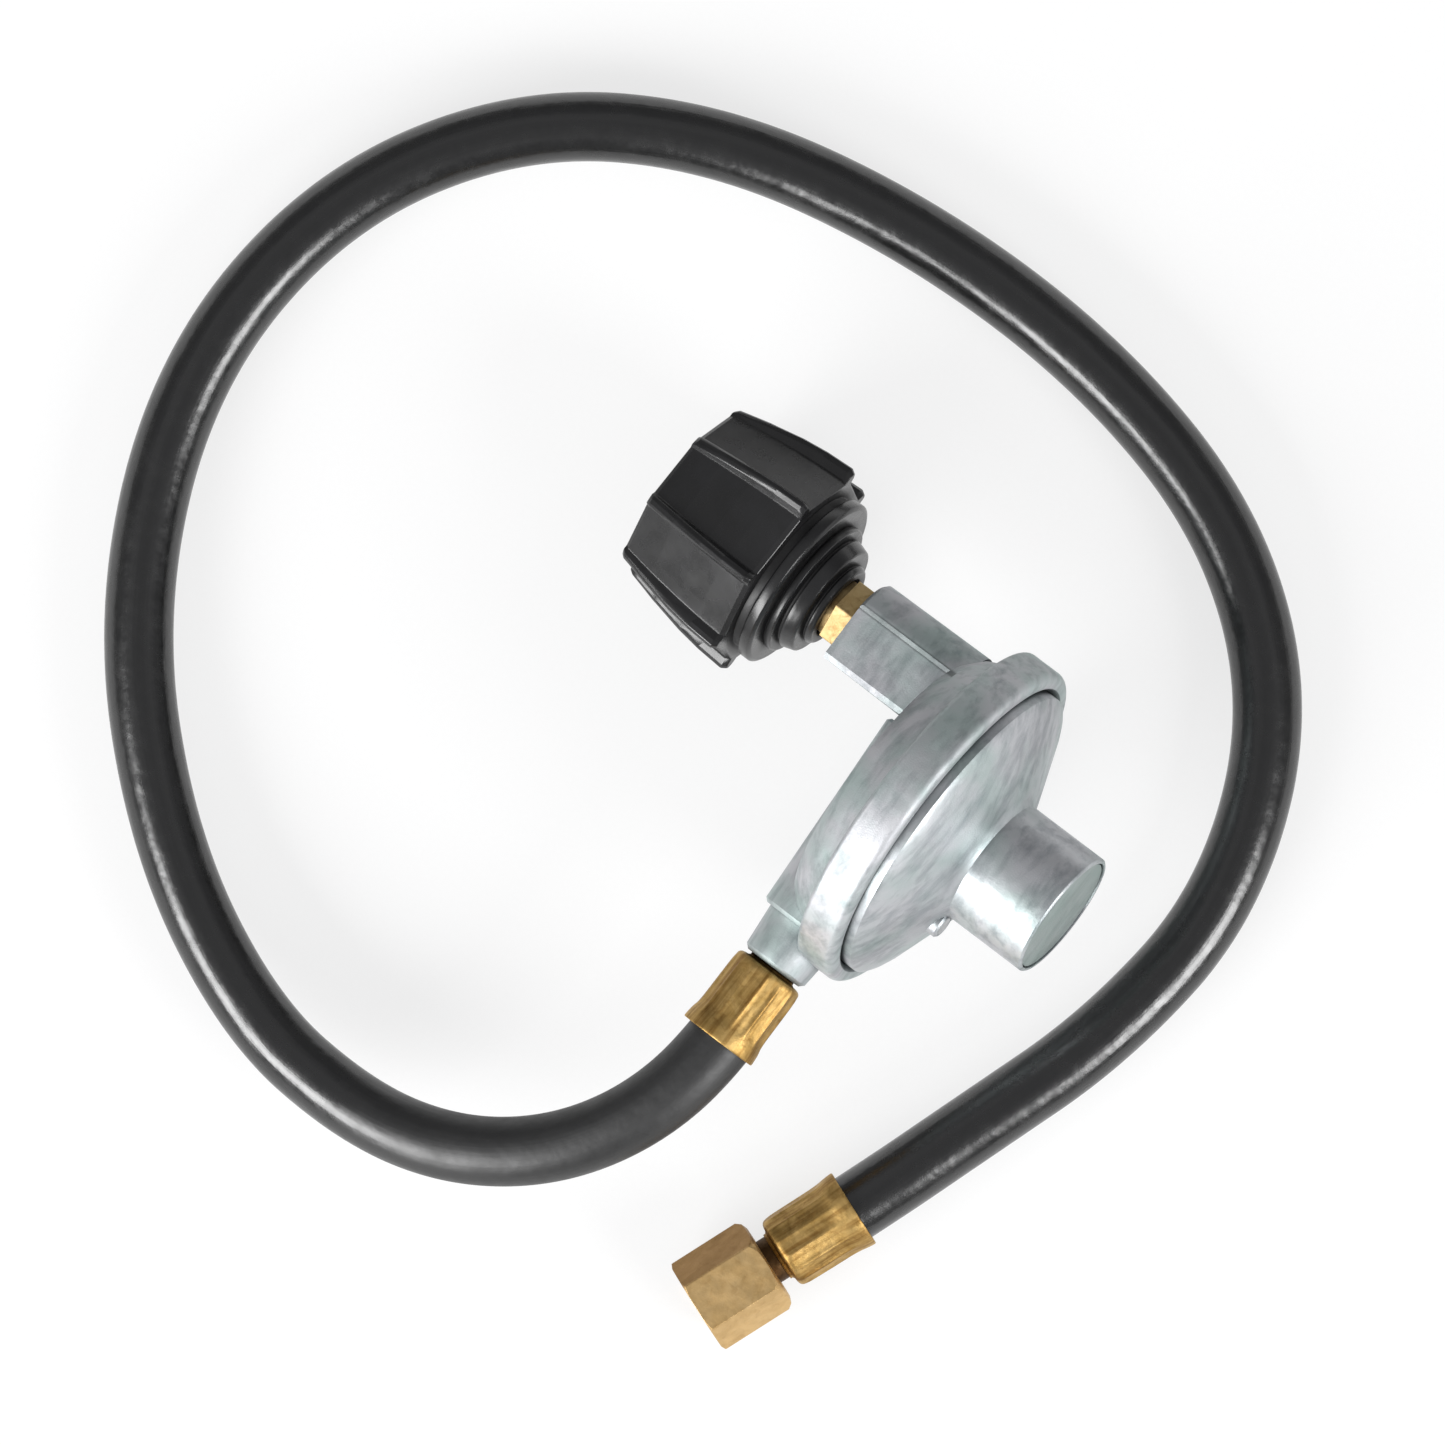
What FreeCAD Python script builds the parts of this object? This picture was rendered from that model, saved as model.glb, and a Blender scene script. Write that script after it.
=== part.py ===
import FreeCAD, Part

import math
import os
import re

import Sketcher
from FreeCAD import Placement, Rotation, Vector

# Low-pressure propane regulator with its hose, in millimetres.
# It lies on a table at z = 0. The regulator stands on the rim of its housing and on the
# mouth of its coupling nut, so its axis leans by a few degrees in the X-Z plane.
# The regulator's own axes: X from the inlet to the bonnet, -Y along the outlet, Z up,
# with zero on the axis of the diaphragm, close to the front of the crimped rim.
# The origin of the part is on the table, under the middle of the regulator's outline.

DIMENSIONS = (
    # crimped rim and pan of the die-cast body
    ("rim_radius", 41.0, "outer radius of the crimped rim"),
    ("rim_front", 0.5, "plane of the crimped lip's front"),
    ("rim_width", 9.6, "width of the rim along the axis"),
    ("rim_round", 1.9, "rounding of the lip's outer edge"),
    ("rim_edge", 1.2, "rounding of the rim's back edge"),
    ("lip_thickness", 2.8, "thickness of the lip rolled over the bonnet"),
    ("lip_slope", 1.1, "slope of the lip's inner edge"),
    ("lip_reach", 4.4, "width of the lip, inwards from the rim's outside"),
    ("crimp_wall", 1.3, "wall of the rim outside the clamped flange"),
    ("membrane", 0.9, "thickness of the rubber diaphragm"),
    ("pan_depth", 10.3, "depth of the gas chamber under the diaphragm"),
    ("pan_wall", 2.4, "wall of the pan's back"),
    ("pan_step", 4.2, "how far the rim stands out from the pan"),
    ("pan_slope", 5.8, "how far the pan narrows between the rim and its flat back"),
    ("pan_shoulder", 3.2, "length of the slope between the pan's side and back"),
    ("chamber_wall", 3.4, "wall of the pan beside the gas chamber"),
    # inlet boss, beside the axis
    ("inlet_inset", 17.25, "distance from the rim's outside to the inlet's axis"),
    ("boss_length", 25.64, "length of the boss behind the pan"),
    ("boss_radius", 10.5, "outer radius of the boss at its end"),
    ("boss_root_radius", 10.8, "outer radius of the boss at the pan"),
    ("boss_chamfer", 0.8, "chamfer of the boss's end"),
    ("flat_depth", 1.5, "how far the flat on the boss lies below its round side"),
    ("flat_side", 2.7, "how far the flat runs past the boss's middle"),
    ("flat_slope", 0.9, "width of the slope beside the flat"),
    ("flat_rise", 0.4, "height of the slope beside the flat"),
    ("flat_corner", 1.2, "width of the slope on the flat's outer corner"),
    # outlet channel and neck, across the axis
    ("outlet_setback", 3.3, "distance from the rim's back to the outlet's axis"),
    ("channel_setback", 12.15, "distance from the inlet's axis to the channel's closed end"),
    ("channel_start_radius", 12.8, "outer radius of the channel at its closed end"),
    ("channel_end_radius", 10.4, "outer radius of the channel at the neck"),
    ("neck_length", 10.5, "length of the neck past the channel"),
    ("neck_reach", 5.5, "how far the neck's end lies outside the rim"),
    ("neck_root_radius", 8.6, "outer radius of the neck at the channel"),
    ("neck_radius", 7.8, "outer radius of the neck at its end"),
    ("neck_chamfer", 1.0, "chamfer of the neck's end"),
    ("outlet_bore", 5.6, "radius of the gas passage to the hose"),
    # bonnet
    ("bonnet_flange", 1.6, "thickness of the bonnet's clamped flange"),
    ("bonnet_wall", 2.2, "wall of the bonnet"),
    ("bonnet_play", 0.2, "gap between the bonnet's side and the lip"),
    ("shoulder_height", 2.3, "top of the bonnet's upright side"),
    ("shoulder_width", 3.1, "width of the bonnet's shoulder beside its cone"),
    ("shoulder_rise", 1.9, "height of the bonnet's sloped shoulder"),
    ("cone_rise", 6.1, "rise of the cone up to the foot of the tower"),
    ("foot_width", 3.8, "how far the tower's foot stands out from the tower"),
    ("foot_rise", 1.8, "height of the slope between cone and tower"),
    ("tower_radius", 14.9, "outer radius of the spring tower"),
    ("tower_height", 21.3, "height of the spring tower above the cone"),
    ("tower_wall", 2.6, "wall of the spring tower"),
    ("tower_chamfer", 0.4, "chamfer of the tower's end"),
    ("cap_edge", 1.0, "width of the tower's edge round the closing cap"),
    ("cap_thickness", 1.6, "thickness of the closing cap"),
    ("cap_sink", 0.3, "how deep the cap sits in the tower"),
    ("vent_place", 17.2, "distance from the axis to the vent"),
    ("vent_radius", 3.2, "outer radius of the vent boss"),
    ("vent_rise", 1.8, "height of the vent boss above the cone's end"),
    ("vent_bore", 1.0, "radius of the vent hole"),
    ("screen_radius", 2.1, "radius of the vent's insect screen"),
    ("screen_thickness", 0.6, "thickness of the vent's insect screen"),
    # pressure setting: screw, spring, diaphragm plates
    ("screw_depth", 5.7, "distance from the cap to the adjusting screw"),
    ("screw_thickness", 4.0, "thickness of the adjusting screw"),
    ("screw_socket", 8.0, "width across the flats of the screw's socket"),
    ("spring_radius", 8.6, "mean radius of the main spring"),
    ("spring_wire", 1.6, "wire of the main spring"),
    ("spring_turns", 6, "turns of the main spring"),
    ("fold_span", 7.9, "distance from the plate's edge to the chamber's wall"),
    ("plate_thickness", 1.0, "sheet of the diaphragm's plate and washer"),
    ("plate_lip", 1.8, "height of the plate's upturned edge"),
    ("washer_radius", 13.0, "radius of the washer on the gas side"),
    ("stem_radius", 2.0, "radius of the diaphragm's stem"),
    ("stem_head", 4.0, "radius of the stem's head and collars"),
    ("stem_collar", 1.0, "thickness of the stem's collars"),
    ("fold_height", 2.2, "height of the diaphragm's rolling fold"),
    ("diaphragm_travel", 1.6, "travel of the diaphragm from open to shut"),
    # valve and lever
    ("short_arm", 7.75, "distance from the lever's pin to the valve's axis"),
    ("lever_drop", 3.74, "distance from the washer to the lever's middle plane"),
    ("lever_thickness", 1.6, "sheet of the lever"),
    ("lever_width", 5.0, "width of the lever's arm"),
    ("fork_width", 9.0, "width of the lever's fork"),
    ("fork_reach", 4.0, "length of the fork past the diaphragm's axis"),
    ("lever_tip", 2.2, "length of the lever past the valve's axis"),
    ("eye_radius", 2.3, "outer radius of the lever's eye"),
    ("pin_radius", 1.0, "radius of the lever's pin"),
    ("lug_gap", 3.0, "half of the gap between the two lugs"),
    ("lug_thickness", 2.8, "thickness of each lug"),
    ("lug_width", 4.4, "width of each lug"),
    ("plunger_radius", 5.5, "radius of the valve plunger"),
    ("plunger_length", 10.4, "length of the valve plunger"),
    ("disc_radius", 3.6, "radius of the rubber seat disc"),
    ("disc_depth", 2.0, "depth of the seat disc's pocket"),
    ("disc_proud", 0.3, "how far the seat disc stands out of its pocket"),
    ("orifice_gap", 0.8, "open gap between the orifice and the seat disc"),
    ("orifice_radius", 5.0, "radius of the orifice's thread"),
    ("orifice_length", 7.0, "length of the orifice's threaded part"),
    ("orifice_tip", 1.9, "radius of the orifice's seat"),
    ("orifice_bore", 0.9, "radius of the orifice's hole"),
    # inlet nipple with its excess-flow check
    ("nipple_thread", 6.6, "radius of the nipple's thread and neck"),
    ("nipple_screwed", 9.0, "length of the nipple inside the boss"),
    ("hex_flats", 14.5, "width across the flats of the nipple's hexagon"),
    ("hex_length", 4.6, "length of the nipple's hexagon"),
    ("collar_radius", 11.5, "radius of the collar that holds the coupling nut"),
    ("collar_thickness", 3.2, "thickness of that collar"),
    ("nose_root_radius", 7.6, "radius of the nose behind its taper"),
    ("nose_radius", 5.6, "radius of the sealing nose"),
    ("nose_taper", 1.8, "length of the nose's taper"),
    ("nose_length", 8.2, "length of the nose's slim part"),
    ("nose_root_length", 7.8, "length of the nose's thick part"),
    ("nose_chamfer", 0.8, "chamfer of the nose's tip"),
    ("seal_wire", 0.85, "section radius of the nose's seal ring"),
    ("seal_place", 4.0, "distance from the nose's tip to the seal ring"),
    ("seal_groove", 4.4, "radius of the seal ring's groove"),
    ("nipple_bore", 2.6, "radius of the nipple's gas passage"),
    ("check_bore", 4.2, "radius of the check's chamber"),
    ("check_length", 17.0, "length of the check's chamber"),
    ("retainer_radius", 4.6, "outer radius of the check's retainer ring"),
    ("retainer_thickness", 1.6, "thickness of the check's retainer ring"),
    ("retainer_bore", 2.4, "inner radius of the check's retainer ring"),
    ("poppet_radius", 3.7, "radius of the check's poppet"),
    ("poppet_thickness", 2.0, "thickness of the poppet's disc"),
    ("poppet_stem", 1.3, "radius of the poppet's stem"),
    ("poppet_stem_length", 9.0, "length of the poppet's stem"),
    ("poppet_travel", 2.5, "travel of the poppet"),
    ("check_spring_radius", 2.6, "mean radius of the check's spring"),
    ("check_spring_wire", 0.5, "wire of the check's spring"),
    ("check_spring_turns", 7, "turns of the check's spring"),
    # coupling nut with its bushing
    ("nut_gap", 1.18, "gap between the coupling nut and the nipple's hexagon"),
    ("rings_length", 13.2, "length of the rings behind the grip"),
    ("grip_length", 30.0, "length of the coupling nut's grip"),
    ("grip_radius", 26.7, "largest radius over the grip's ribs"),
    ("panels", 8, "flat panels round the grip"),
    ("nut_turn", 6.1, "turn of the coupling nut, in degrees"),
    ("rib_width", 3.2, "width of the rib between two panels"),
    ("rib_height", 2.2, "height of a rib above its panels at the back of the grip"),
    ("thread_radius", 16.0, "inner radius of the coupling nut's thread"),
    ("nut_throat", 7.4, "inner radius of the coupling nut's throat"),
    ("bushing_radius", 13.4, "outer radius of the thermal bushing"),
    ("bushing_length", 6.0, "length of the thermal bushing"),
    ("bushing_set", 1.3, "how far the thermal bushing reaches behind the grip"),
    # hose, its inserts and crimped ferrules
    ("hose_radius", 7.55, "outer radius of the hose"),
    ("hose_bore", 4.0, "inner radius of the hose"),
    ("insert_bore", 2.6, "inner radius of the brass inserts"),
    ("insert_screwed", 10.5, "length of the outlet insert in the neck"),
    ("hose_grip", 18.2, "length of hose inside a ferrule"),
    ("ferrule_face", 1.5, "thickness of a ferrule's closed end"),
    ("ferrule_wall", 1.2, "wall of a ferrule"),
    ("ferrule_slope", 1.7, "length of the slope at a ferrule's closed end"),
    ("ferrule_nose", 6.9, "radius of a ferrule's closed end"),
    ("ferrule_lip", 0.4, "flare of a ferrule's open lip"),
    ("ferrule_lip_length", 1.2, "length of a ferrule's open lip"),
    ("crimp_flats", 8, "flats pressed into a ferrule"),
    ("crimp_flat_radius", 8.5, "distance from the hose's axis to a crimped flat"),
    ("barb_length", 15.5, "length of an insert inside the hose"),
    # flare swivel nut
    ("flare_flats", 19.05, "width across the flats of the flare nut"),
    ("flare_length", 18.4, "length of the flare nut"),
    ("flare_gap", 0.7, "bare stem between the ferrule and the flare nut"),
    ("flare_chamfer", 1.0, "chamfer of the flare nut's corners at its mouth"),
    ("flare_dome", 1.7, "rounding of the flare nut's corners at its back"),
    ("flare_thread", 7.2, "inner radius of the flare nut's thread"),
    ("flare_relief", 7.7, "radius of the relief behind the flare nut's thread"),
    ("flare_web", 3.4, "thickness of the flare nut's back"),
    ("flare_neck", 5.2, "radius of the stem inside the flare nut's back"),
    ("flare_head", 6.9, "radius of the stem's head"),
    ("flare_head_length", 4.6, "length of the stem's head"),
    ("flare_seat", 6.0, "outer radius of the 45 degree seat"),
    ("thread_chamfer", 0.9, "chamfer of the flare nut's thread"),
    # clearances
    ("seat_gap", 0.02, "between pieces that are clamped, pressed or screwed together"),
    ("running_gap", 0.08, "radial clearance of pieces that turn or slide in each other"),
    ("free_gap", 0.3, "between moving pieces at rest"),
    ("lever_gap", 0.5, "between the lever and what it pushes"),
)

# Places that follow from the dimensions, along the axis unless said otherwise.
PLACES = (
    ("rim_back", "rim_front - rim_width"),
    ("lip_back", "rim_front - lip_thickness"),
    ("lip_radius", "rim_radius - lip_reach"),
    ("crimp_radius", "rim_radius - crimp_wall"),
    ("flange_front", "lip_back - seat_gap"),
    ("flange_back", "flange_front - bonnet_flange"),
    ("membrane_front", "flange_back - seat_gap"),
    ("membrane_back", "membrane_front - membrane"),
    ("land", "membrane_back - seat_gap"),
    ("pan_floor", "land - pan_depth"),
    ("pan_back", "pan_floor - pan_wall"),
    ("pan_radius", "rim_radius - pan_step"),
    ("pan_back_radius", "pan_radius - pan_slope"),
    ("chamber_radius", "pan_radius - chamber_wall"),
    ("inlet_offset", "rim_radius - inlet_inset"),
    ("boss_end", "pan_back - boss_length"),
    ("outlet_place", "rim_back - outlet_setback"),
    ("channel_start", "inlet_offset - channel_setback"),
    ("neck_end", "-(rim_radius + neck_reach)"),
    ("channel_end", "neck_end + neck_length"),
    ("side_radius", "lip_radius - bonnet_play"),
    ("cone_radius", "side_radius - shoulder_width"),
    ("cone_start", "shoulder_height + shoulder_rise"),
    ("cone_end", "cone_start + cone_rise"),
    ("foot_radius", "tower_radius + foot_width"),
    ("cone_slope", "cone_rise / (cone_radius - foot_radius)"),
    ("tower_bore", "tower_radius - tower_wall"),
    ("bore_start", "cone_end - bonnet_wall + cone_slope * (foot_radius - tower_bore)"),
    ("tower_end", "cone_end + tower_height"),
    ("cap_radius", "tower_radius - cap_edge"),
    ("cap_front", "tower_end - cap_sink"),
    ("cap_back", "cap_front - cap_thickness"),
    ("screw_place", "cap_back - screw_depth - screw_thickness"),
    ("vent_height", "cone_end + vent_rise"),
    ("screen_back", "vent_height - screen_thickness - seat_gap"),
    ("plate_radius", "chamber_radius - fold_span"),
    ("plate_back", "membrane_front + seat_gap"),
    ("plate_front", "plate_back + plate_thickness"),
    ("washer_front", "membrane_back - seat_gap"),
    ("washer_back", "washer_front - plate_thickness"),
    ("lever_plane", "washer_back - lever_drop"),
    ("lever_front", "lever_plane + lever_thickness / 2"),
    ("lever_back", "lever_plane - lever_thickness / 2"),
    ("fork_front", "lever_front + lever_gap"),
    ("fork_back", "lever_back - lever_gap"),
    ("pivot_place", "inlet_offset - short_arm"),
    ("plunger_back", "lever_back - lever_gap"),
    ("plunger_front", "plunger_back - plunger_length"),
    ("disc_front", "plunger_front - disc_proud"),
    ("orifice_front", "disc_front - orifice_gap"),
    ("nipple_inner_end", "boss_end + nipple_screwed"),
    ("orifice_back", "nipple_inner_end + free_gap"),
    ("orifice_shoulder", "orifice_back + orifice_length"),
    ("plunger_bore", "plunger_radius + running_gap"),
    ("hex_front", "boss_end - seat_gap"),
    ("hex_back", "hex_front - hex_length"),
    ("grip_back", "hex_back - nut_gap - rings_length"),
    ("mouth", "grip_back - grip_length"),
    ("bushing_back", "grip_back + bushing_set"),
    ("bushing_front", "bushing_back - bushing_length"),
    ("pocket_front", "bushing_front - 2 * seat_gap"),
    ("collar_back", "bushing_front - free_gap"),
    ("collar_front", "collar_back - collar_thickness"),
    ("nose_root", "collar_front - nose_root_length"),
    ("nose_start", "nose_root - nose_taper"),
    ("nose_end", "nose_start - nose_length"),
    ("seal_middle", "nose_end + seal_place"),
    ("retainer_back", "nose_end + retainer_thickness"),
    ("check_back", "retainer_back + check_length"),
    ("poppet_front", "retainer_back + seat_gap + free_gap"),
    ("poppet_back", "poppet_front + poppet_thickness"),
    ("ferrule_start", "neck_end - seat_gap"),
    ("hose_start", "ferrule_start - ferrule_face - seat_gap"),
    ("ferrule_radius", "hose_radius + seat_gap + ferrule_wall"),
    ("ferrule_length", "ferrule_face + seat_gap + hose_grip"),
    ("flare_back", "ferrule_face + seat_gap + flare_gap"),
    ("flare_front", "flare_back + flare_length"),
    ("head_back", "flare_back + flare_web + free_gap"),
    ("head_front", "head_back + flare_head_length"),
    ("thread_end", "head_front + free_gap"),
)

# Stations along the grip: the share of its length from the mouth, how far the ribs' tops lie
# inside the grip's largest radius, and the share of the ribs' full height. The last but one
# is the back edge before its rounding.
GRIP_STATIONS = (
    (0.0, 5.6, 0.2),
    (0.03, 4.8, 0.3),
    (0.273, 2.9, 0.6),
    (0.54, 1.2, 0.9),
    (0.74, 0.4, 1.0),
    (0.96, 0.0, 1.0),
    (1.0, 0.8, 0.9),
)

# Rings behind the grip, as corners of their outline: the distance from the grip's back,
# and the radius.
COLLAR_CORNERS = (
    (-2.0, 19.6),
    (1.9, 19.6),
    (2.2, 20.8),
    (4.4, 20.8),
    (5.0, 19.9),
    (5.0, 15.4),
    (5.3, 15.4),
    (5.5, 16.1),
    (6.9, 16.1),
    (7.1, 15.7),
    (7.1, 13.1),
    (7.8, 13.1),
    (8.0, 14.1),
    (10.9, 13.2),
    (11.1, 12.7),
    (11.1, 9.4),
    (11.6, 9.4),
    (11.8, 10.2),
    (12.9, 9.7),
    (13.2, 9.2),
)

# The hose's route after it leaves the ferrule, chosen by hand: X and Y from the point under
# the diaphragm's middle, and Z from the table. The last two points take the height of the
# flare nut's axis.
ROUTE = (
    (-12.5, -69, 38.4),
    (-18.3, -94.5, 36.5),
    (-34.5, -115.3, 32),
    (-58.5, -126.8, 26),
    (-89.5, -126.5, 19),
    (-121, -113, 12.5),
    (-153, -88.5, 8.8),
    (-176.5, -57.5, 7.6),
    (-191.5, -17, 7.6),
    (-189, 27.5, 7.6),
    (-167, 66, 7.6),
    (-131, 89.5, 7.6),
    (-84, 100, 7.6),
    (-34.5, 100.5, 7.6),
    (10, 89.5, 7.6),
    (42.5, 63.5, 7.6),
    (58.5, 24, 7.6),
    (55, -15, 8.0),
    (43.5, -49, 8.9),
)
ROUTE_END = ((35.3, -73.5), (27.4, -94.8))

doc = FreeCAD.newDocument("propane_regulator_hose")
sheet = doc.addObject("Spreadsheet::Sheet", "dims")
places = doc.addObject("App::VarSet", "places")
DIMENSION_NAMES = {name for name, _, _ in DIMENSIONS}
PLACE_NAMES = {name for name, _ in PLACES}
nodes = {}


def tied(text):
    """The text of an expression with each of its names tied to where its value is kept."""
    def tie(match):
        name = match.group(0)
        if name in DIMENSION_NAMES:
            return "dims." + name
        if name in PLACE_NAMES:
            return "places." + name
        raise ValueError(f"no dimension or place is called {name}")

    return re.sub(r"[a-z_]+", tie, text)


def size(name):
    """The value of a dimension or a place."""
    return float(getattr(sheet if name in DIMENSION_NAMES else places, name))


def write_sheet():
    """Write the dimensions as plain numbers, and the places as expressions of them."""
    for row, (name, value, meaning) in enumerate(DIMENSIONS, 1):
        sheet.set(f"A{row}", name)
        sheet.set(f"B{row}", str(value))
        sheet.set(f"C{row}", meaning)
        sheet.setAlias(f"B{row}", name)
    for name, text in PLACES:
        places.addProperty("App::PropertyFloat", name, "Places", text)
        places.setExpression(name, tied(text))
    doc.recompute()


# How a piece is made

def new_body(label):
    body = doc.addObject("PartDesign::Body", label + "_body")
    body.Label = label
    return body


def origin_plane(body, role):
    return next(item for item in body.Origin.OriginFeatures if item.Role == role)


def new_sketch(body, role, shift):
    """A sketch on one of the body's own planes, moved in that plane by bound distances."""
    sketch = body.newObject("Sketcher::SketchObject", body.Name + "_sketch")
    sketch.AttachmentSupport = [(origin_plane(body, role), "")]
    sketch.MapMode = "FlatFace"
    for direction, text in shift.items():
        sketch.setExpression("AttachmentOffset.Base." + direction, tied(text))
    return sketch


def draw_outline(sketch, corners):
    """A closed outline of straight edges, with both distances of each corner bound."""
    count = len(corners)
    step = 2 * math.pi / count
    circle = [Vector(50 * math.cos(i * step), 50 * math.sin(i * step), 0) for i in range(count)]
    for index in range(count):
        sketch.addGeometry(Part.LineSegment(circle[index], circle[(index + 1) % count]))
    for index in range(count):
        sketch.addConstraint(Sketcher.Constraint("Coincident", index, 2, (index + 1) % count, 1))
    for index, (across, up) in enumerate(corners):
        for kind, start, text in (
            ("DistanceX", circle[index].x, across),
            ("DistanceY", circle[index].y, up),
        ):
            number = sketch.addConstraint(Sketcher.Constraint(kind, -1, 1, index, 1, start))
            sketch.setExpression(f"Constraints[{number}]", tied(text))


def turn(body, corners, shift=None, axis="H_Axis", cut=False):
    """Turn an outline about a line along X (H_Axis) or Y (V_Axis), and add or cut the ring.

    About X a corner is (place, radius). About Y it is (radius, place).
    """
    sketch = new_sketch(body, "XY_Plane", shift or {})
    draw_outline(sketch, corners)
    kind = "PartDesign::Groove" if cut else "PartDesign::Revolution"
    feature = body.newObject(kind, body.Name + ("_groove" if cut else "_turned"))
    feature.Profile = sketch
    feature.ReferenceAxis = (sketch, [axis])
    feature.Angle = 360
    doc.recompute()
    return feature


def turned(label, corners, shift=None):
    """A piece turned about X."""
    body = new_body(label)
    turn(body, corners, shift)
    return body


def block(body, kind, low, high):
    """Add or cut a box between two corners given as bound texts."""
    box = body.newObject("PartDesign::" + kind, body.Name + "_block")
    box.AttachmentSupport = [(origin_plane(body, "XY_Plane"), "")]
    box.MapMode = "FlatFace"
    for side, direction, first, last in zip(("Length", "Width", "Height"), "xyz", low, high):
        box.setExpression(side, tied(f"({last}) - ({first})"))
        box.setExpression("AttachmentOffset.Base." + direction, tied(first))
    doc.recompute()
    return box


def post(body, kind, radius, start, length, across, along):
    """Add or cut a round post that runs along Z from a bound place."""
    cylinder = body.newObject("PartDesign::" + kind, body.Name + "_post")
    cylinder.AttachmentSupport = [(origin_plane(body, "XY_Plane"), "")]
    cylinder.MapMode = "FlatFace"
    cylinder.setExpression("Radius", tied(radius))
    cylinder.setExpression("Height", tied(length))
    cylinder.setExpression("AttachmentOffset.Base.x", tied(across))
    cylinder.setExpression("AttachmentOffset.Base.y", tied(along))
    cylinder.setExpression("AttachmentOffset.Base.z", tied(start))
    doc.recompute()
    return cylinder


def prism(name, sides, corner_radius, start, length, offset="0", turn_degrees=0.0):
    """A prism with its axis along X, beside the axis by a bound distance."""
    solid = doc.addObject("Part::Prism", name)
    solid.setExpression("Polygon", tied(sides))
    solid.setExpression("Circumradius", tied(corner_radius))
    solid.setExpression("Height", tied(length))
    along_x = Rotation(Vector(0, 1, 0), 90)
    solid.Placement = Placement(Vector(), along_x * Rotation(Vector(0, 0, 1), turn_degrees))
    solid.setExpression("Placement.Base.x", tied(start))
    solid.setExpression("Placement.Base.y", tied(offset))
    return solid


def joined(label, kind, pieces):
    """A boolean of several pieces, which takes the label."""
    result = doc.addObject(kind, label + "_shape")
    if kind == "Part::Cut":
        result.Base, result.Tool = pieces
    else:
        result.Shapes = pieces
    result.Label = label
    doc.recompute()
    return result


def round_circle(body, feature, radius, place, rounding):
    """Round the circular edge about X that has the given radius and place."""
    def is_it(edge):
        curve = edge.Curve
        return (
            isinstance(curve, Part.Circle)
            and abs(curve.Radius - size(radius)) < 1e-4
            and abs(curve.Center.x - size(place)) < 1e-4
            and edge.Length > size(radius)
        )

    names = [f"Edge{i}" for i, edge in enumerate(feature.Shape.Edges, 1) if is_it(edge)]
    fillet = body.newObject("PartDesign::Fillet", body.Name + "_round")
    fillet.Base = (feature, names)
    fillet.setExpression("Radius", tied(rounding))
    doc.recompute()
    return fillet


# Curves made of tangent arcs

def arc_under_corner(start, corner, end):
    """The arc that is tangent to both sides of a corner at two points equally far from it."""
    middle = (start + end) * 0.5
    half_turn = math.acos(min(1.0, (middle - start).Length / (corner - start).Length))
    height = math.tan(half_turn / 2) / math.tan(half_turn)
    return Part.Arc(start, middle + (corner - middle) * height, end).toShape()


def two_arcs(start, start_way, end, end_way):
    """Two tangent arcs between two points with given directions."""
    chord = end - start
    both = start_way + end_way
    spread = 4 - both.dot(both)
    lean = chord.dot(both)
    reach = (math.sqrt(lean * lean + spread * chord.dot(chord)) - lean) / spread
    first = start + start_way * reach
    last = end - end_way * reach
    joint = (first + last) * 0.5
    return [arc_under_corner(start, first, joint), arc_under_corner(joint, last, end)]


def coil_spring(label, radius, wire, turns, start, length, offset):
    """An open coil spring about X, swept along quarter turns."""
    quarters = round(turns * 4)
    angle = math.pi / 2
    rise = (length - wire) / quarters

    def point(index):
        return Vector(
            start + wire / 2 + index * rise,
            offset + radius * math.cos(index * angle),
            radius * math.sin(index * angle),
        )

    def way(index):
        direction = Vector(
            rise / angle, -radius * math.sin(index * angle), radius * math.cos(index * angle)
        )
        return direction.normalize()

    edges = []
    for index in range(quarters):
        edges += two_arcs(point(index), way(index), point(index + 1), way(index + 1))
    ring = Part.Wire(Part.makeCircle(wire / 2, point(0), way(0)))
    spring = doc.addObject("Part::Feature", label + "_shape")
    spring.Shape = Part.Wire(edges).makePipeShell([ring], True, False)
    spring.Label = label
    return spring


# Regulator: castings

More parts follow.
